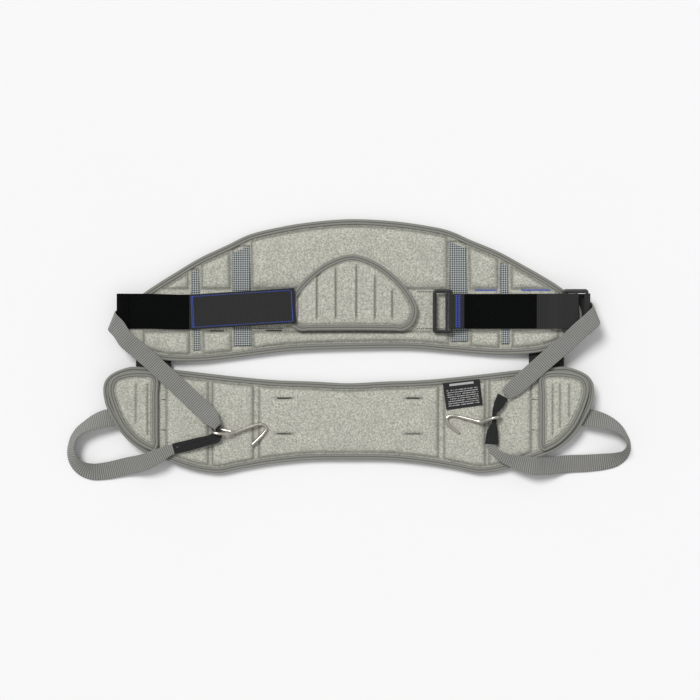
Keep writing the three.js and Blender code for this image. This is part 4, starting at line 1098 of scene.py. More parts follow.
class HARNESS_PG_hardware(bpy.types.PropertyGroup):
    """Hooks, buckles and fastening"""

    wire_radius: FloatProperty(name="Wire radius", description="Half the thickness of the hook wire",
                               default=0.0022, min=0.001, max=0.004, subtype="DISTANCE", unit="LENGTH")
    wire_colour: FloatVectorProperty(name="Wire", description="Colour of the hook wire", size=3, min=0, max=1,
                                     subtype="COLOR", default=srgb(214, 210, 200))
    plastic_colour: FloatVectorProperty(name="Plastic", description="Colour of the buckles", size=3, min=0,
                                        max=1, subtype="COLOR", default=srgb(12, 12, 13))
    pile_colour: FloatVectorProperty(name="Pile", description="Colour of the fastening", size=3, min=0, max=1,
                                     subtype="COLOR", default=srgb(12, 13, 13))


class HARNESS_PG_stage(bpy.types.PropertyGroup):
    """Floor, lights and camera"""

    key_power: FloatProperty(name="Key light",
                             description="Strength of the key light, watts per square metre",
                             default=2.15, min=0, max=50)
    sky: FloatProperty(name="Sky", description="Strength of the even light all round", default=0.45, min=0,
                       max=4)
    lens: FloatProperty(name="Lens", description="Focal length of the camera", default=85.0, min=20, max=300,
                        subtype="DISTANCE_CAMERA", unit="CAMERA")
    height: FloatProperty(name="Camera height", description="Height of the camera over the floor",
                          default=2.41,
                          min=0.5, max=8, subtype="DISTANCE", unit="LENGTH")
    floor_colour: FloatVectorProperty(name="Floor", description="Colour of the floor", size=3, min=0, max=1,
                                      subtype="COLOR", default=(0.9, 0.9, 0.9))


# ---------------------------------------------------------------- operators
class HARNESS_OT_stage(bpy.types.Operator):
    """Adds the floor, the lights and the camera"""

    bl_idname = "harness.stage"
    bl_label = "Stage"

    def execute(self, context):
        settings = context.scene.harness_stage
        corners = np.array([(-3, -3, 0), (3, -3, 0), (3, 3, 0), (-3, 3, 0)]) / MM
        floor = mesh_object("floor", corners, [[0, 1, 2, 3]])
        floor.data.materials.append(floor_finish(settings))
        world = bpy.data.worlds.new("soft sky")
        world.use_nodes = True
        background = world.node_tree.nodes["Background"]
        background.inputs[0].default_value = (1.0, 1.0, 1.0, 1.0)
        background.inputs[1].default_value = settings.sky
        context.scene.world = world
        for name, place, spread, share in (("key", (-0.62, 0.85, 1.6), 22, 1.0),
                                           ("fill", (0.9, -0.5, 1.6), 60, 0.06)):
            lamp = bpy.data.lights.new(name, "SUN")
            lamp.energy = settings.key_power * share
            lamp.angle = math.radians(spread)
            holder = bpy.data.objects.new(name, lamp)
            holder.location = place
            holder.rotation_euler = (-Vector(place)).to_track_quat("-Z", "Y").to_euler()
            context.scene.collection.objects.link(holder)
        lens = bpy.data.cameras.new("camera")
        lens.lens = settings.lens
        lens.sensor_width = 36.0
        lens.clip_end = 50.0
        lens.dof.use_dof = False
        camera = bpy.data.objects.new("camera", lens)
        camera.location = (0.0, 0.0, settings.height)
        context.scene.collection.objects.link(camera)
        context.scene.camera = camera
        context.scene.view_settings.view_transform = "Standard"
        return {"FINISHED"}


class HARNESS_OT_upper_pad(bpy.types.Operator):
    """Adds the kidney pad: cushion, shell, vent strips and edge tape"""

    bl_idname = "harness.upper_pad"
    bl_label = "Kidney pad"

    def execute(self, context):
        pads = context.scene.harness_pads
        points = outline(UPPER_HALF, 0, 760, UPPER_TURN)
        pad = cushion("kidney_cushion", points, FOAM_LOW, LINING_TOP, upper_height, upper_detail,
                      upper_painted_shade, pads.grid / MM, pads)
        dress(pad, "lining", "upper_pad", ["kidney_foam_core", "kidney_lining"])
        shell = slab("kidney_shell", points + inward(points) * 0.9, SHELL_LOW, SHELL_HIGH, 30,
                     lambda x, y: 0.12 * waves(x, y, 21, 40))
        dress(shell, "shell", "upper_pad", ["kidney_outer_shell"])
        edge = tape("kidney_tape", points, BINDING_LOW, PAD_TOP)
        dress(edge, "edge_tape", "upper_pad", ["kidney_edge_binding"])
        self.stitches()
        for place, (near, far, low, high0, high1) in VENTS.items():
            for side, hand in ((-1, "left"), (1, "right")):
                self.vent(f"{hand}_{place}_vent", side, near, far, low, high0, high1, place, hand)
        return {"FINISHED"}

    def stitches(self):
        """Dark rows at the channel's edges and short bar tacks, and two blue bars on the right."""
        dark, blue = [], []
        for y in (31.2, 84.6):
            for x0, x1 in ((-141, -97), (97, 141)):
                path = straight_path((x0, y, LINING_TOP + 0.05), (x1, y, LINING_TOP + 0.05), 30)
                dark += stitch_grids(path, up_along(path), 2.6, 1.1, 0.85)
        for x0, x1, y, held in ((-203, -183, 27.4, dark), (-122, -99, 28, dark), (181, 213, 86.4, blue),
                                (248, 290, 86.4, blue)):
            for shift in (0, 0.7):
                path = straight_path((x0, y + shift, 0), (x1, y + shift, 0), 20)
                path[:, 2] = LINING_TOP + 0.25 + lift(path[:, 0])
                held += stitch_grids(path, up_along(path), 1.6, 1.2, 1.0)
        for name, grids, key in (("kidney_dark_tacks", dark, "dark_thread"),
                                 ("kidney_blue_tacks", blue, "blue_thread")):
            dress(grid_surface(name, grids), key, "upper_pad", slot="sleeve")

    def vent(self, name, side, near, far, low, high0, high1, place, hand):
        """A mesh strip between two rounded long sides, slightly sunk between its edges."""
        u = np.linspace(0, 1, 13)[None, :]
        v = np.linspace(0, 1, 60)[:, None]
        x = side * (near + (far - near) * u) + 0 * v
        y = low + (high0 + (high1 - high0) * u - low) * v
        plan = placed(np.stack([x.ravel(), y.ravel()], -1), UPPER_TURN)
        x, y = plan[:, 0].reshape(x.shape), plan[:, 1].reshape(y.shape)
        sag = 0.5 * np.sin(math.pi * u) ** 0.5 * np.sin(math.pi * v) ** 0.25
        top = 10.7 - sag + lift(x)
        under = np.full(x.shape, 9.9) - 0.3 + lift(x)
        grid = np.concatenate([np.stack([x, y, top], -1), np.stack([x, y, under], -1)[:, ::-1]], 1)
        strip = np.concatenate([grid[..., :2], grid[:, :1, :2]], 1)
        piece = grid_surface(name, [(grid, strip, False)])
        dress(piece, "vent_mesh", "upper_pad", [f"{hand}_{place}_vent_mesh"])


class HARNESS_OT_lower_pad(bpy.types.Operator):
    """Adds the seat pad: cushion, shell and edge tape, with its bar tacks"""

    bl_idname = "harness.lower_pad"
    bl_label = "Lower pad"

    def execute(self, context):
        pads = context.scene.harness_pads
        points = outline(SEAT_HALF, SEAT_MIDDLE, 800)
        pad = cushion("seat_cushion", points, FOAM_LOW, LINING_TOP, seat_height, seat_detail,
                      seat_painted_shade, pads.grid / MM, pads)
        dress(pad, "lining", "lower_pad", ["seat_foam_core", "seat_lining"])
        shell = slab("seat_shell_cloth", points + inward(points) * 0.9, SHELL_LOW, SHELL_HIGH, 30,
                     lambda x, y: 0.12 * waves(x, y, 22, 40))
        dress(shell, "shell", "lower_pad", ["seat_outer_shell"])
        edge = tape("seat_tape", points, BINDING_LOW, PAD_TOP)
        dress(edge, "edge_tape", "lower_pad", ["seat_edge_binding"])
        grids = []
        for side in (-1, 1):
            for level in (-70, -121.5):
                middle = SEAT_MIDDLE + side * 93.5
                path = straight_path((middle - 10, level, SEAT_TOP - 2.3),
                                     (middle + 10, level, SEAT_TOP - 2.3))
                for shift in (-0.7, 0, 0.7):
                    grids += stitch_grids(path + [0, shift, 0], up_along(path), 1.1, 1.2, 1.0)
            for level in (-71.5, -115.7):
                x = SEAT_MIDDLE + side * 270
                z = LINING_TOP + float(lift(x)) - 0.2
                path = straight_path((x - 5, level, z - 0.3), (x + 5, level, z + 0.3))
                grids += stitch_grids(path, up_along(path), 1.1, 1.3, 1.0)
        tacks = grid_surface("seat_bar_tacks", grids)
        dress(tacks, "dark_thread", "lower_pad", slot="sleeve")
        return {"FINISHED"}


class HARNESS_OT_small_pads(bpy.types.Operator):
    """Adds the lumbar pad and the two hip pads with their tapes and hook patches"""

    bl_idname = "harness.small_pads"
    bl_label = "Lumbar and hip pads"

    def execute(self, context):
        pads = context.scene.harness_pads
        points = outline(LUMBAR_HALF, LUMBAR_MIDDLE, 340)
        pad = cushion("lumbar_cushion", points, LUMBAR_BODY, LUMBAR_EDGE, lumbar_height, lumbar_detail,
                      lumbar_painted_shade, 2.2, pads)
        dress(pad, "lining", "lumbar", ["lumbar_pad"])
        edge = tape("lumbar_tape", points, 16.15, 21.75, roll=0.35)
        dress(edge, "edge_tape", "lumbar", ["lumbar_binding"])
        patch = band("lumbar_fastening", level_rows((-41.5, 46.5), 99.5, 16.4, 16.6, 0.68), 30,
                     side=(0, 1, 0))
        dress(patch, "fastening", "lumbar", ["lumbar_hook_patch"])
        for side, hand in ((-1, "left"), (1, "right")):
            plan = np.array(HIP_OUTLINE) * [side, 1] + [SEAT_MIDDLE, 0]
            line, _ = catmull(plan, np.arange(300) / 300, closed=True)
            line = even(line, 260)
            pad = cushion(f"{hand}_hip_cushion", line, HIP_BODY, HIP_EDGE, hip_height, hip_detail(side),
                          hip_painted_shade(side), 2.0, pads)
            dress(pad, "lining", f"{hand}_hip", [f"{hand}_hip_pad"])
            edge = tape(f"{hand}_hip_tape", line, HIP_LOW, 16.85, roll=0.35)
            dress(edge, "edge_tape", f"{hand}_hip", [f"{hand}_hip_binding"])
            xs = np.linspace(288, 322, 4) * side + SEAT_MIDDLE
            rows = level_rows(xs, -75, 11.4, 58, 0.68)
            patch = band(f"{hand}_hip_fastening", rows, 20, side=(0, 1, 0))
            dress(patch, "fastening", f"{hand}_hip", [f"{hand}_hip_hook_patch"])
        return {"FINISHED"}


class HARNESS_OT_back_webbing(bpy.types.Operator):
    """Adds the webbing behind the pads, its keepers and the straps that join the pads"""

    bl_idname = "harness.back_webbing"
    bl_label = "Webbing behind the pads"

    def execute(self, context):
        spread = np.linspace(-BACK_END, BACK_END, 25)
        belt = band("back_belt", level_rows(spread, BELT_MIDDLE, BELT_LOW + 0.75, BELT_WIDTH, BELT_THICK),
                    200,
                    side=(0, 1, 0))
        dress(belt, "black_webbing", "upper_pad", ["waist_belt_back"])
        for name, node_name, y, end, body in (
            ("back_strap_upper", "back_webbing_kidney", 59, BACK_END, "upper_pad"),
            ("back_strap_lower", "back_webbing_seat", -97, 326, "lower_pad"),
        ):
            rows = level_rows(np.linspace(-end, end, 25), y, STRAP_LOW + 0.7, STRAP_WIDTH, STRAP_THICK)
            if body == "upper_pad":
                drop_left = [13.5 * float(step((-row[0] - 180) / 120)) for row in rows]
                rows = [(row[0], y - down, *row[2:]) for row, down in zip(rows, drop_left)]
            strap = band(name, rows, 200, side=(0, 1, 0))
            dress(strap, "grey_webbing", body, [node_name])
        for number, x in enumerate((-235, -125, 0, 125, 235)):
            self.keeper(f"belt_keeper_{number + 1}", x, BELT_MIDDLE, 26.7, "upper_pad")
        for number, x in enumerate((-235, -80, 80, 235)):
            self.keeper(f"strap_keeper_{number + 1}", x, -97, 14, "lower_pad")
        for side, hand in ((-1, "left"), (1, "right")):
            x = side * 285
            z = BELT_LOW + 0.75 + float(lift(x))
            rows = [(x, y, z, BELT_WIDTH, BELT_THICK, side * 6.84) for y in np.linspace(24.6, -62, 12)]
            link = band(f"{hand}_link", rows, 60, side=(-1, 0, 0))
            dress(link, "black_webbing", nodes=[f"{hand}_link_strap"])
            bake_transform(link)
        return {"FINISHED"}

    def keeper(self, name, x, middle, half, body):
        """A short loop under the webbing, its two feet sewn to the shell."""
        foot, mid = 4.6, 0.52
        rise = float(lift(x))
        slope = (float(lift(x + 1)) - float(lift(x - 1))) / 2
        side = [(-half - 11, foot), (-half - 7, foot), (-half - 1.5, (foot + mid) / 2), (-half + 4, mid)]
        path = side + [(0, mid)] + [(-y, z) for y, z in side[::-1]]
        rows = [(x, middle + y, z + rise, STRAP_WIDTH, 0.8, 0) for y, z in path]
        loop = band(name + "_web", rows, 60, side=(-1, 0, -slope))
        dress(loop, "black_webbing", body, [name])


LEFT_TAIL = [
    (-317.85, 56, FRONT_BELT + 11.758), (-290, 56, FRONT_BELT + 8.4), (-255, 55, FRONT_BELT + 4.725),
    (-233, 55, FRONT_BELT + 3.95), (-170, 58.743, FRONT_BELT + 6), (-120, 61.714, 24.9), (-78.7, 64.167,
                                                                                          26.0),
]


def tail_rows(rows, offset, width, thick):
    return [(x, y, z + offset, width, thick, 0) for x, y, z in rows]


class HARNESS_OT_left_belt(bpy.types.Operator):
    """Adds the left end of the waist belt, with its fold, pile patch, hook patch and stitching"""

    bl_idname = "harness.left_belt"
    bl_label = "Left belt end"

    def execute(self, context):
        tail_grid = band_grid(tail_rows(LEFT_TAIL, 0, BELT_WIDTH, BELT_THICK), 150, across=22,
                              relief=lambda s, t, f: 0.12 * np.sin(s / 17) * np.cos(t / 14))
        tail = grid_surface("left_belt", [tail_grid])
        dress(tail, "black_webbing", "left_belt_end", ["left_belt_tail"])
        for name, part, offset, width, key in (
            ("left_belt_pile", LEFT_TAIL[:4], 1.45, BELT_WIDTH - 0.6, "left_belt_pile_patch"),
            ("left_belt_hooks", LEFT_TAIL[4:6], -1.45, BELT_WIDTH - 6, "left_belt_hook_patch"),
        ):
            patch = band(name, tail_rows(part, offset, width, 0.7), 60, across=20)
            dress(patch, "fastening", "left_belt_end", [key])
        x0, z0 = -BACK_END - 0.1, 3.7
        rows = [(x0, BELT_MIDDLE, z0 + float(lift(x0)), BELT_WIDTH, BELT_THICK, 0)]
        radius, centre = 4.5, 331.9
        middle = 8.2 + float(lift(centre))
        for angle in np.radians(np.linspace(270, 90, 9)):
            rows.append((-centre + radius * math.cos(angle), BELT_MIDDLE, middle + radius * math.sin(angle),
                         BELT_WIDTH, BELT_THICK, 0))
        rows.append((x0, BELT_MIDDLE, FRONT_BELT + float(lift(x0)), BELT_WIDTH, BELT_THICK, 0))
        fold = band("left_belt_turn", rows, 60, side=(0, -1, 0))
        dress(fold, "fastening", nodes=["left_belt_fold"], slot="black_webbing")
        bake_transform(fold)
        self.stitching(tail_grid[0])
        return {"FINISHED"}

    def stitching(self, grid):
        """Blue rows along both edges and across both ends, on the upper face of the belt."""
        top = grid[:, :22]
        x = top[:, 11, 0]
        lower, upper = np.searchsorted(x, -230.5), len(x) - 4
        grids = []
        for column in (1, 20):
            path = top[lower:upper, column] + [0, 0, 0.05]
            grids += stitch_grids(path, up_along(path), 3.0, 0.9)
        for row in (lower, lower + 1, upper):
            path = top[row, 1:21] + [0, 0, 0.05]
            grids += stitch_grids(path, up_along(path), 2.4, 1.3, 0.85)
        thread = grid_surface("left_belt_stitches", grids)
        dress(thread, "blue_thread", "left_belt_end", slot="black_webbing")


def frame_grid(left, right, low, high, widths, thick, radius, rise, slope, middle):
    """A moulded ring: a rounded rectangle of bars. Each bar has its own width, and its section is a
    rounded oblong. The ring is tipped to follow the slope about its middle."""
    wl, wr, wy = widths
    corners = [(right - wr / 2, low + wy / 2), (right - wr / 2, high - wy / 2),
               (left + wl / 2, high - wy / 2), (left + wl / 2, low + wy / 2)]
    line, wide = [], []
    for number, (x, y) in enumerate(corners):
        towards = [(-1, 1), (-1, -1), (1, -1), (1, 1)][number]
        angles = np.radians(np.linspace(-90, 0, 8) + 90 * number)
        line.append(np.stack([x + towards[0] * radius + radius * np.cos(angles),
                              y + towards[1] * radius + radius * np.sin(angles)], -1))
        share = np.linspace(0, 1, 8)
        start, end = [(wy, wr), (wr, wy), (wy, wl), (wl, wy)][number]
        wide.append(start + (end - start) * share)
    line, wide = np.concatenate(line), np.concatenate(wide)
    closed = np.vstack([line, line[:1]])
    run = run_length(closed)
    at = np.linspace(0, run[-1], 160, endpoint=False)
    plan = np.stack([np.interp(at, run, closed[:, k]) for k in (0, 1)], -1)
    size = np.interp(at, run, np.append(wide, wide[0]))
    normal = inward(plan, 1.5)
    grid, strip = oblong(plan, normal, size, thick)
    grid[..., 2] += rise + (grid[..., 0] - middle) * slope
    strip = np.concatenate([strip, strip[:1]], 0)
    return grid, np.concatenate([strip, strip[:, :1]], 1), True


def oblong(plan, normal, size, thick):
    """Sections with rounded edges set across a plan line: a superellipse of power four."""
    a = np.linspace(0, 2 * math.pi, 20, endpoint=False)
    c, s = np.cos(a), np.sin(a)
    u = np.sign(c) * np.abs(c) ** 0.5 / 2
    w = np.sign(s) * np.abs(s) ** 0.5 / 2
    xy = plan[:, None] + normal[:, None] * (u[None] * size[:, None])[..., None]
    z = np.broadcast_to(w[None] * thick, xy.shape[:2])
    run = np.broadcast_to(run_length(plan)[:, None], xy.shape[:2])
    strip = np.stack([run, np.broadcast_to(a[None] * 2, xy.shape[:2])], -1)
    return np.concatenate([xy, z[..., None]], -1), strip


def bar_grid(x, low, high, width, thick, rise, slope, middle):
    """A straight bar between the two sides of a buckle."""
    y = np.linspace(low, high, 20)
    plan = np.stack([np.full(20, x), y], -1)
    grid, strip = oblong(plan, np.tile([1.0, 0.0], (20, 1)), np.full(20, width), thick)
    grid[..., 2] += rise + (grid[..., 0] - middle) * slope
    return grid, np.concatenate([strip, strip[:, :1]], 1), False


class HARNESS_OT_buckles(bpy.types.Operator):
    """Adds the end loop buckle and the tip slider buckle"""

    bl_idname = "harness.buckles"
    bl_label = "Buckles"

    def execute(self, context):
        ring = frame_grid(119.5, 148.2, 24.2, 87.8, (5.7, 3.4, 5.4), 3.4, 2.6, BUCKLE_Z, 0, 134)
        bar = bar_grid(139.5, 27, 85, 3.4, 3.3, BUCKLE_Z, 0, 134)
        end = grid_surface("end_loop", [ring, bar])
        dress(end, "buckle_plastic", "end_loop", ["end_loop_buckle"])
        rise = SLIDER_Z + float(lift(SLIDER_X))
        ring = frame_grid(305.5, 343, 24.2, 87.8, (4.5, 4.0, 6.1), 3.4, 2.6, rise, 0.12, SLIDER_X)
        bar = bar_grid(325, 27, 85, 3.4, 3.3, rise, 0.12, SLIDER_X)
        slider = grid_surface("tip_slider", [ring, bar])
        dress(slider, "buckle_plastic", "right_belt_end", ["tip_slider_buckle"])
        return {"FINISHED"}


def arc_rows(x, z, radius, first, last, count):
    """Places on a circle in the X-Z plane, angles in degrees."""
    angles = np.radians(np.linspace(first, last, count + 1))
    return [(x + radius * math.cos(a), z + radius * math.sin(a)) for a in angles]


class HARNESS_OT_right_belt(bpy.types.Operator):
    """Adds the right end of the waist belt through both buckles, with its patch and stitching"""

    bl_idname = "harness.right_belt"
    bl_label = "Right belt end"

    def execute(self, context):
        around = 3.454
        slider = SLIDER_Z + float(lift(SLIDER_X))
        low, high = FRONT_BELT, FRONT_BELT + 1.8
        slope = 22 * 0.12
        path = [(172, low + 0.6 + float(lift(172))), (157, BUCKLE_Z - around - 0.4)]
        path += arc_rows(146.5, BUCKLE_Z, around, 300, 60, 8)
        path += [(158, BUCKLE_Z + 1.2), (176, high + 0.6 + float(lift(176)))]
        path += [(x, high + float(lift(x))) for x in (185, 220, 255)]
        path += [(285, high + 0.4 + float(lift(285))), (303, slider + around - slope)]
        path += arc_rows(SLIDER_X, slider, around, 97, -83, 8)
        path += [(303, slider - around - slope), (288, low + 0.3 + float(lift(288))),
                 (272, low + 0.1 + float(lift(272)))]
        rows = [(x, BELT_MIDDLE, z, BELT_WIDTH, BELT_THICK, 0) for x, z in path]
        grid = band_grid(rows, 330, side=(0, -1, 0), across=22)
        belt = grid_surface("right_belt", [grid])
        dress(belt, "black_webbing", "right_belt_end", ["right_belt_tail"])
        front = np.array(path[8:16])

        def surface(x):
            return np.interp(x, front[:, 0], front[:, 1]) + 0.75

        xs = np.linspace(165.5, 276.8, 24)
        rows = [(x, BELT_MIDDLE, float(surface(x)) + 0.75, 50, 0.7, 0) for x in xs]
        patch = band("right_belt_pile", rows, 90, side=(0, 1, 0), across=20)
        dress(patch, "fastening", "right_belt_end", ["right_belt_pile_patch"])
        self.fold()
        self.stitching(surface)
        return {"FINISHED"}

    def fold(self):
        """The belt's own turn round the slider's outer bar, from behind the pad's tip."""
        bar = SLIDER_X + 16
        z = SLIDER_Z + float(lift(SLIDER_X)) + 0.12 * 16
        back = BELT_LOW + 0.75
        path = [(BACK_END + 0.15, back + float(lift(BACK_END))), (335, back + float(lift(334)) + 0.2),
                (bar + 3.2, back + float(lift(bar)) + 3), (bar + 4.2, z - 3)]
        path += arc_rows(bar, z, 4.0, -10, 150, 8)
        rows = [(x, BELT_MIDDLE, h, BELT_WIDTH, BELT_THICK, 0) for x, h in path]
        fold = band("right_belt_turn", rows, 70, side=(0, 1, 0))
        dress(fold, "black_webbing", nodes=["right_belt_fold"])
        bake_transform(fold)

    def stitching(self, surface):
        """Blue rows across the turn at the end buckle, along the edges and round the box."""
        grids = []
        low, high = BELT_MIDDLE - 23.6, BELT_MIDDLE + 23.6

        def row(first, second, above=0.1, pitch=2.4, width=1.2):
            path = straight_path((*first, 0), (*second, 0), 30)
            path[:, 2] = surface(path[:, 0]) + above
            return stitch_grids(path, up_along(path), pitch, width, 0.85)

        for x in (153.0, 154.4, 157.2, 158.6, 281, 317):
            grids += row((x, low), (x, high))
        for y in (low, high):
            grids += row((281, y), (317, y), width=0.9)
            grids += row((166, y + (0.9 if y > BELT_MIDDLE else -0.9)), (276, y), 0.3, 3.0, 0.6)
        thread = grid_surface("right_belt_stitches", grids)
        dress(thread, "blue_thread", "right_belt_end", slot="black_webbing")


SEAT_GAP_ROWS = {
    "left_drop": [(-325, 16.2, 4.5), (-310, 4, 3.9), (-287, -16, 4.5), (-270, -32, 5.1), (-240, -60, 4.2),
                  (-212, -86, 7.3), (-200, -97.6, 11), (-193.5, -105.5, 13.4, 0, 17),
                  (-190.5, -110.5, 13.9, 0, 11)],
    "right_drop": [(332.4, 30.4, 9.6), (318, 16, 7.1), (288, -10, 5.6), (262, -33, 5.8), (242, -50.7, 6.2),
                   (231, -60, 7.0, 0, 22), (224.6, -64.6, 7.5, 0, 15)],
    "left_loop": [(-248, -141.3, 2.9, 0, 12, 1.2), (-262, -145.5, 2.2, 0, 16), (-280, -154.5, 3.4, -3, 22),
                  (-300, -163, -3.8, -8), (-321, -168, -16.9, -5), (-356, -176, -26.8, -8),
                  (-374.5, -177, -28, -16), (-391, -171, -27, -32), (-402.5, -157, -25.3, -50),
                  (-404.5, -139, -24.2, -62), (-397, -121, -22.7, -62), (-383, -110.5, -20.3, -52),
                  (-366, -102.5, -16.3, -30), (-351, -98.5, -12.5, -3), (-336, -97, -11.38),
                  (-318, -97, -11.1), (-300, -97, -11.1)],
    "right_loop": [(205, -131.5, 6, 0, 15, 1.2), (204.7, -139, 5.2, 0, 13), (211, -148, 4.8, 12, 12),
                   (224, -156.5, 4.8, 24, 17), (246, -163.6, 3.4, 8, 22), (265, -167.3, 2.6, -5),
                   (287, -168.3, -8.3, -8), (314, -166, -22.4, -3), (345, -164.8, -26.9, 4),
                   (366, -163, -27.7, 14), (386, -159, -26.7, 32), (399.5, -150, -24.7, 55),
                   (404, -138, -23.6, 70), (399, -124, -22.6, 70), (387, -111.5, -20.6, 56),
                   (368, -103, -16.3, 32), (351, -99, -12.5, 10), (336, -97, -11.38), (318, -97, -11.1),
                   (300, -97, -11.1)],
    "left_sleeve": [(-192, -110.8, 11, 0, 17, 2), (-191, -113.5, 10.5, 0, 6, 3), (-190, -117.6, 9.5, 0, 6, 3),
                    (-190.8, -121.5, 7.5, 0, 12, 3), (-194.5, -126.6, 6.3, 0, 17, 3), (-203, -130, 5.4, 0,
                                                                                       14, 3),
                    (-220, -134.3, 4.7, 0, 15.5, 3), (-238, -139, 3.7, 0, 16, 3), (-248, -141.3, 2.9, 0, 16,
                                                                                   3),
                    (-255, -143.2, 2.2, 0, 16, 3)],
    "right_sleeve": [(221, -66.5, 7.7, 0, 17, 3), (214.5, -79, 8.3, 0, 15, 3), (208.6, -90.5, 9.3, 0, 7, 3),
                     (208.2, -97.4, 10.2, 0, 6, 3), (208, -104.5, 9.3, 0, 7, 3), (205.8, -117, 8.6, 0, 16, 3),
                     (205, -131.5, 6.3, 0, 19.5, 3), (204.8, -136, 5.8, 0, 20, 3)],
}


def on_seat(point):
    """A plan place and its height above the lower pad's panels, as a place."""
    return (point[0], point[1], SEAT_TOP + point[2] + float(lift(point[0])))


def seat_rows(key):
    rows = []
    for row in SEAT_GAP_ROWS[key]:
        more = list(row[3:]) + [0, STRAP_WIDTH, STRAP_THICK][len(row) - 3:]
        rows.append((*on_seat(row), more[1], more[2], more[0]))
    return rows


ROLL_DEPTH = 4.0
FOLD_ANGLE = math.radians(68)


def rolled_strap(side, reach, start, back, front, drop):
    """A flat strap that comes outward behind the pad, rolls round a slanted fold line and runs on in
    front in the mirrored direction. Its plan is found flat, as distances across and along the fold
    line; the first is wound round a half ellipse between the back and front heights. Past the roll
    the height and width follow the drop rows."""
    rise = (front - back) / 2
    turn = math.pi * math.sqrt((ROLL_DEPTH**2 + rise**2) / 2)
    out = np.array([side * math.sin(FOLD_ANGLE), math.cos(FOLD_ANGLE)])
    fold = np.array([-side * math.cos(FOLD_ANGLE), math.sin(FOLD_ANGLE)])
    entry = np.array([side * (reach - ROLL_DEPTH), start])
    ahead = np.array([side, 0.0])
    lead = reach - ROLL_DEPTH - BACK_END - 1
    leave = turn / (ahead @ out)
    mirrored = (ahead @ fold) * fold - (ahead @ out) * out
    foot = entry + fold * (ahead @ fold) * leave
    rows = np.array([row for row in drop])
    far = (rows[:, :2] - foot) @ mirrored
    off = (rows[:, :2] - foot) @ np.array([-mirrored[1], mirrored[0]]) * side
    keep = far > 22
    at = np.concatenate([[0, 5], far[keep]]) + leave
    heights = np.concatenate([[front, front], rows[keep, 2]])
    drift = np.concatenate([[0, 0], off[keep]])
    widths = np.concatenate([[STRAP_WIDTH] * 2, rows[keep, 3]]) / STRAP_WIDTH
    fine = np.linspace(-lead, at[-1], 500)
    pad = np.ones(31) / 31

    def smooth(values):
        line = np.interp(fine, at, values)
        return np.convolve(np.pad(line, 15, "edge"), pad, "valid")

    curves = [smooth(v) for v in (heights, drift, widths)]

    def place(s, t):
        height, aside, width = (np.interp(s, fine, c) for c in curves)
        t = t * width
        u = s * (ahead @ out) + t * out[1]
        v = s * (ahead @ fold) + t * fold[1]
        wound = np.clip(u / turn, 0, 1) * math.pi
        across = np.where(u < 0, u, ROLL_DEPTH * np.sin(wound) - np.maximum(u - turn, 0))
        level = np.where(u < turn, (back + front) / 2 - rise * np.cos(wound), height)
        blend = step((u - turn) / 12)
        level = np.where(u >= turn, front + (height - front) * blend, level)
        shift = aside * step((u - turn) / 30) * side
        plan = entry + across[..., None] * out + v[..., None] * fold
        plan = plan + shift[..., None] * np.array([-mirrored[1], mirrored[0]])
        return np.concatenate([plan, level[..., None]], -1)

    section = flat_section(14, 3)
    s = np.linspace(-lead, at[-1], 230)[:, None] + np.zeros((1, section.shape[1]))
    t = (section[0] * (STRAP_WIDTH - STRAP_THICK) + section[1] * STRAP_THICK)[None] + 0 * s
    small_step = 0.3
    run = place(s + small_step, t) - place(s - small_step, t)
    wide = place(s, t + small_step) - place(s, t - small_step)
    normal = unit(np.cross(run, wide))
    grid = place(s, t) + normal * (section[2] * STRAP_THICK)[None, :, None]
    strip = np.stack([s + lead, t], -1)
    return grid, np.concatenate([strip, strip[:, :1]], 1), False


class HARNESS_OT_grey_straps(bpy.types.Operator):
    """Adds the grey drop straps, turned round the pad's tips, and the two side loops"""

    bl_idname = "harness.grey_straps"
    bl_label = "Grey straps"

    def execute(self, context):
        back = STRAP_LOW + 0.7 + float(lift(330))
        left = FRONT_BELT + 0.75 + 0.3 + 0.7 + 1.6 + float(lift(335))
        right = SLIDER_Z + float(lift(SLIDER_X)) + 3.4 + 6.3
        for side, hand, reach, start, front in ((-1, "left", 342.6, 45.5, left),
                                                (1, "right", 351.6, 59, right)):
            grid = rolled_strap(side, reach, start, back, front, seat_rows(f"{hand}_drop"))
            strap = grid_surface(f"{hand}_drop", [grid])
            dress(strap, "grey_webbing", nodes=[f"{hand}_strap_turn", f"{hand}_drop_strap"])
            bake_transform(strap)
            loop = band(f"{hand}_loop", seat_rows(f"{hand}_loop"), 230,
                        relief=lambda s, t, f: 0.15 * np.sin(s / 19))
            dress(loop, "grey_webbing", "lower_pad", [f"{hand}_loop_strap"])
        return {"FINISHED"}


class HARNESS_OT_sleeves(bpy.types.Operator):
    """Adds the two gathered black sleeves that hold the hooks"""

    bl_idname = "harness.sleeves"
    bl_label = "Hook sleeves"

    def execute(self, context):
        for hand, seed in (("left", 31), ("right", 32)):
            rows = seat_rows(f"{hand}_sleeve")

            def folds(s, t, face, seed=seed):
                run = np.sin(t * 1.15 + 0.9 * np.sin(s / 11 + seed)) + 0.6 * np.sin(t * 2.1 - s / 7 + seed)
                return 0.45 * run * (face != 0) + 0.35 * np.sin(s / 2.4 + 0.25 * t + seed)

            sleeve = band(f"{hand}_sleeve", rows, 170, across=30, edge=5, relief=folds)
            dress(sleeve, "sleeve", "lower_pad", [f"{hand}_hook_sleeve"])
        return {"FINISHED"}


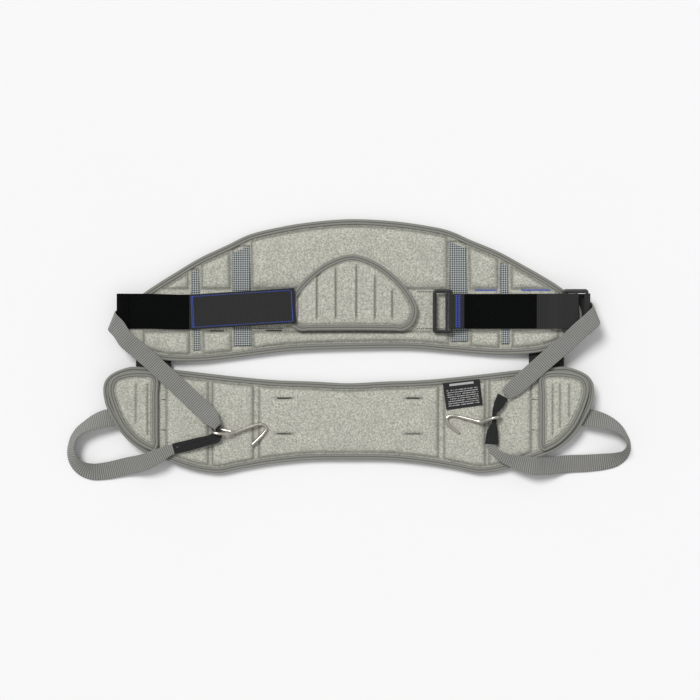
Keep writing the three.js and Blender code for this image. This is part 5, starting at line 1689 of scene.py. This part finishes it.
HOOKS = {
    "left": ((-190, -117.6, 9.5), (-168.5, -119, 8.6), (0, -0.42, 0.9),
             [(-155, -114.8, 6.0), (-134.1, -107.9, 3.0), (-126.5, -108, 2.5), (-121.2, -113.5, 2.5),
              (-125, -120.5, 2.5), (-142.5, -137.8, 2.5)]),
    "right": ((208.2, -97.4, 10.2), (187.5, -103.2, 8.6), (0, 0, 1),
              [(173, -100, 5.8), (157, -96.2, 2.9), (147.8, -94.6, 2.5), (140, -98.5, 2.5),
               (141.9, -106.6, 2.5),
               (158.3, -120.6, 2.5)]),
}
EYE_HALF = 6.3


class HARNESS_OT_hooks(bpy.types.Operator):
    """Adds the two bent wire hooks"""

    bl_idname = "harness.hooks"
    bl_label = "Wire hooks"

    def execute(self, context):
        radius = context.scene.harness_hardware.wire_radius / MM
        shares = [(0.32, 0.62), (0.62, 1), (0.76, 1), (0.93, 0.7)]
        for hand, (eye, kink, opening, shank) in HOOKS.items():
            centre, start = np.array(on_seat(eye)), np.array(on_seat(kink))
            flat = unit((centre - start) * [1, 1, 0])
            end = centre + flat * (EYE_HALF + 1.5)
            side = unit(np.array(opening, float)) * EYE_HALF
            out = [start + (end - start) * s + side * w for s, w in shares]
            back = [start + (end - start) * s - side * w for s, w in shares[::-1]]
            path = [on_seat(p) for p in shank[::-1]] + [start, *out, end, *back, start - side * 0.12]
            grid, strip, _ = tube_grid(np.array([np.array(p, float) for p in path]), radius, 260)
            hook = grid_surface(f"{hand}_wire_hook", [(grid, strip, False)])
            dress(hook, "hook_wire", f"{hand}_hook_body", [f"{hand}_hook"])
        return {"FINISHED"}


class HARNESS_OT_label(bpy.types.Operator):
    """Adds the care label with its plain pattern of marks"""

    bl_idname = "harness.label"
    bl_label = "Care label"

    def execute(self, context):
        a, b, c, d = (np.array(p, float) for p in ((139.5, -86.9), (192.1, -79.6), (187.6, -41.9),
                                                   (134.4, -48)))
        u = np.linspace(0, 1, 30)[None, :, None]
        v = np.linspace(0, 1, 40)[:, None, None]
        plan = (a * (1 - u) + b * u) * (1 - v) + (d * (1 - u) + c * u) * v
        curl = 0.5 * (1 - v[..., 0]) ** 2 + 0.25 * np.sin(3.1 * u[..., 0] + 2 * v[..., 0])
        z = SEAT_TOP + 0.75 + curl + lift(plan[..., 0])
        top = np.concatenate([plan, z[..., None]], -1)
        under = top - [0, 0, 0.35]
        grid = np.concatenate([top, under[:, ::-1]], 1)
        uv = np.concatenate([u * 53.1 + 0 * v, v * 38 + 0 * u], -1)
        strip = np.concatenate([uv, uv[:, ::-1], uv[:, :1]], 1)
        label = grid_surface("label", [(grid, strip, False)])
        dress(label, "label", "label_flap", ["care_label"])
        return {"FINISHED"}


class HARNESS_PT_panel(bpy.types.Panel):
    """Buttons and settings of the harness"""

    bl_idname = "HARNESS_PT_panel"
    bl_label = "Padded harness"
    bl_space_type = "VIEW_3D"
    bl_region_type = "UI"
    bl_category = "Harness"

    def draw(self, context):
        for operator in OPERATORS:
            self.layout.operator(operator.bl_idname)
        for holder in ("harness_pads", "harness_webbing", "harness_hardware", "harness_stage"):
            settings = getattr(context.scene, holder)
            for name in settings.__annotations__:
                self.layout.prop(settings, name)


OPERATORS = (
    HARNESS_OT_stage, HARNESS_OT_upper_pad, HARNESS_OT_lower_pad, HARNESS_OT_small_pads, HARNESS_OT_back_webbing,
    HARNESS_OT_left_belt, HARNESS_OT_right_belt, HARNESS_OT_buckles, HARNESS_OT_grey_straps, HARNESS_OT_sleeves,
    HARNESS_OT_hooks, HARNESS_OT_label,
)
GROUP_CLASSES = (HARNESS_PG_pads, HARNESS_PG_webbing, HARNESS_PG_hardware, HARNESS_PG_stage)
HOLDERS = ("harness_pads", "harness_webbing", "harness_hardware", "harness_stage")


def register():
    for kind in (*GROUP_CLASSES, *OPERATORS, HARNESS_PT_panel):
        bpy.utils.register_class(kind)
    for holder, kind in zip(HOLDERS, GROUP_CLASSES):
        setattr(bpy.types.Scene, holder, PointerProperty(type=kind))


def unregister():
    for holder in HOLDERS:
        delattr(bpy.types.Scene, holder)
    for kind in reversed((*GROUP_CLASSES, *OPERATORS, HARNESS_PT_panel)):
        bpy.utils.unregister_class(kind)


def main():
    register()
    bpy.ops.harness.stage()
    bpy.ops.harness.upper_pad()
    bpy.ops.harness.lower_pad()
    bpy.ops.harness.small_pads()
    bpy.ops.harness.back_webbing()
    bpy.ops.harness.left_belt()
    bpy.ops.harness.right_belt()
    bpy.ops.harness.buckles()
    bpy.ops.harness.grey_straps()
    bpy.ops.harness.sleeves()
    bpy.ops.harness.hooks()
    bpy.ops.harness.label()


if __name__ == "__main__":
    main()
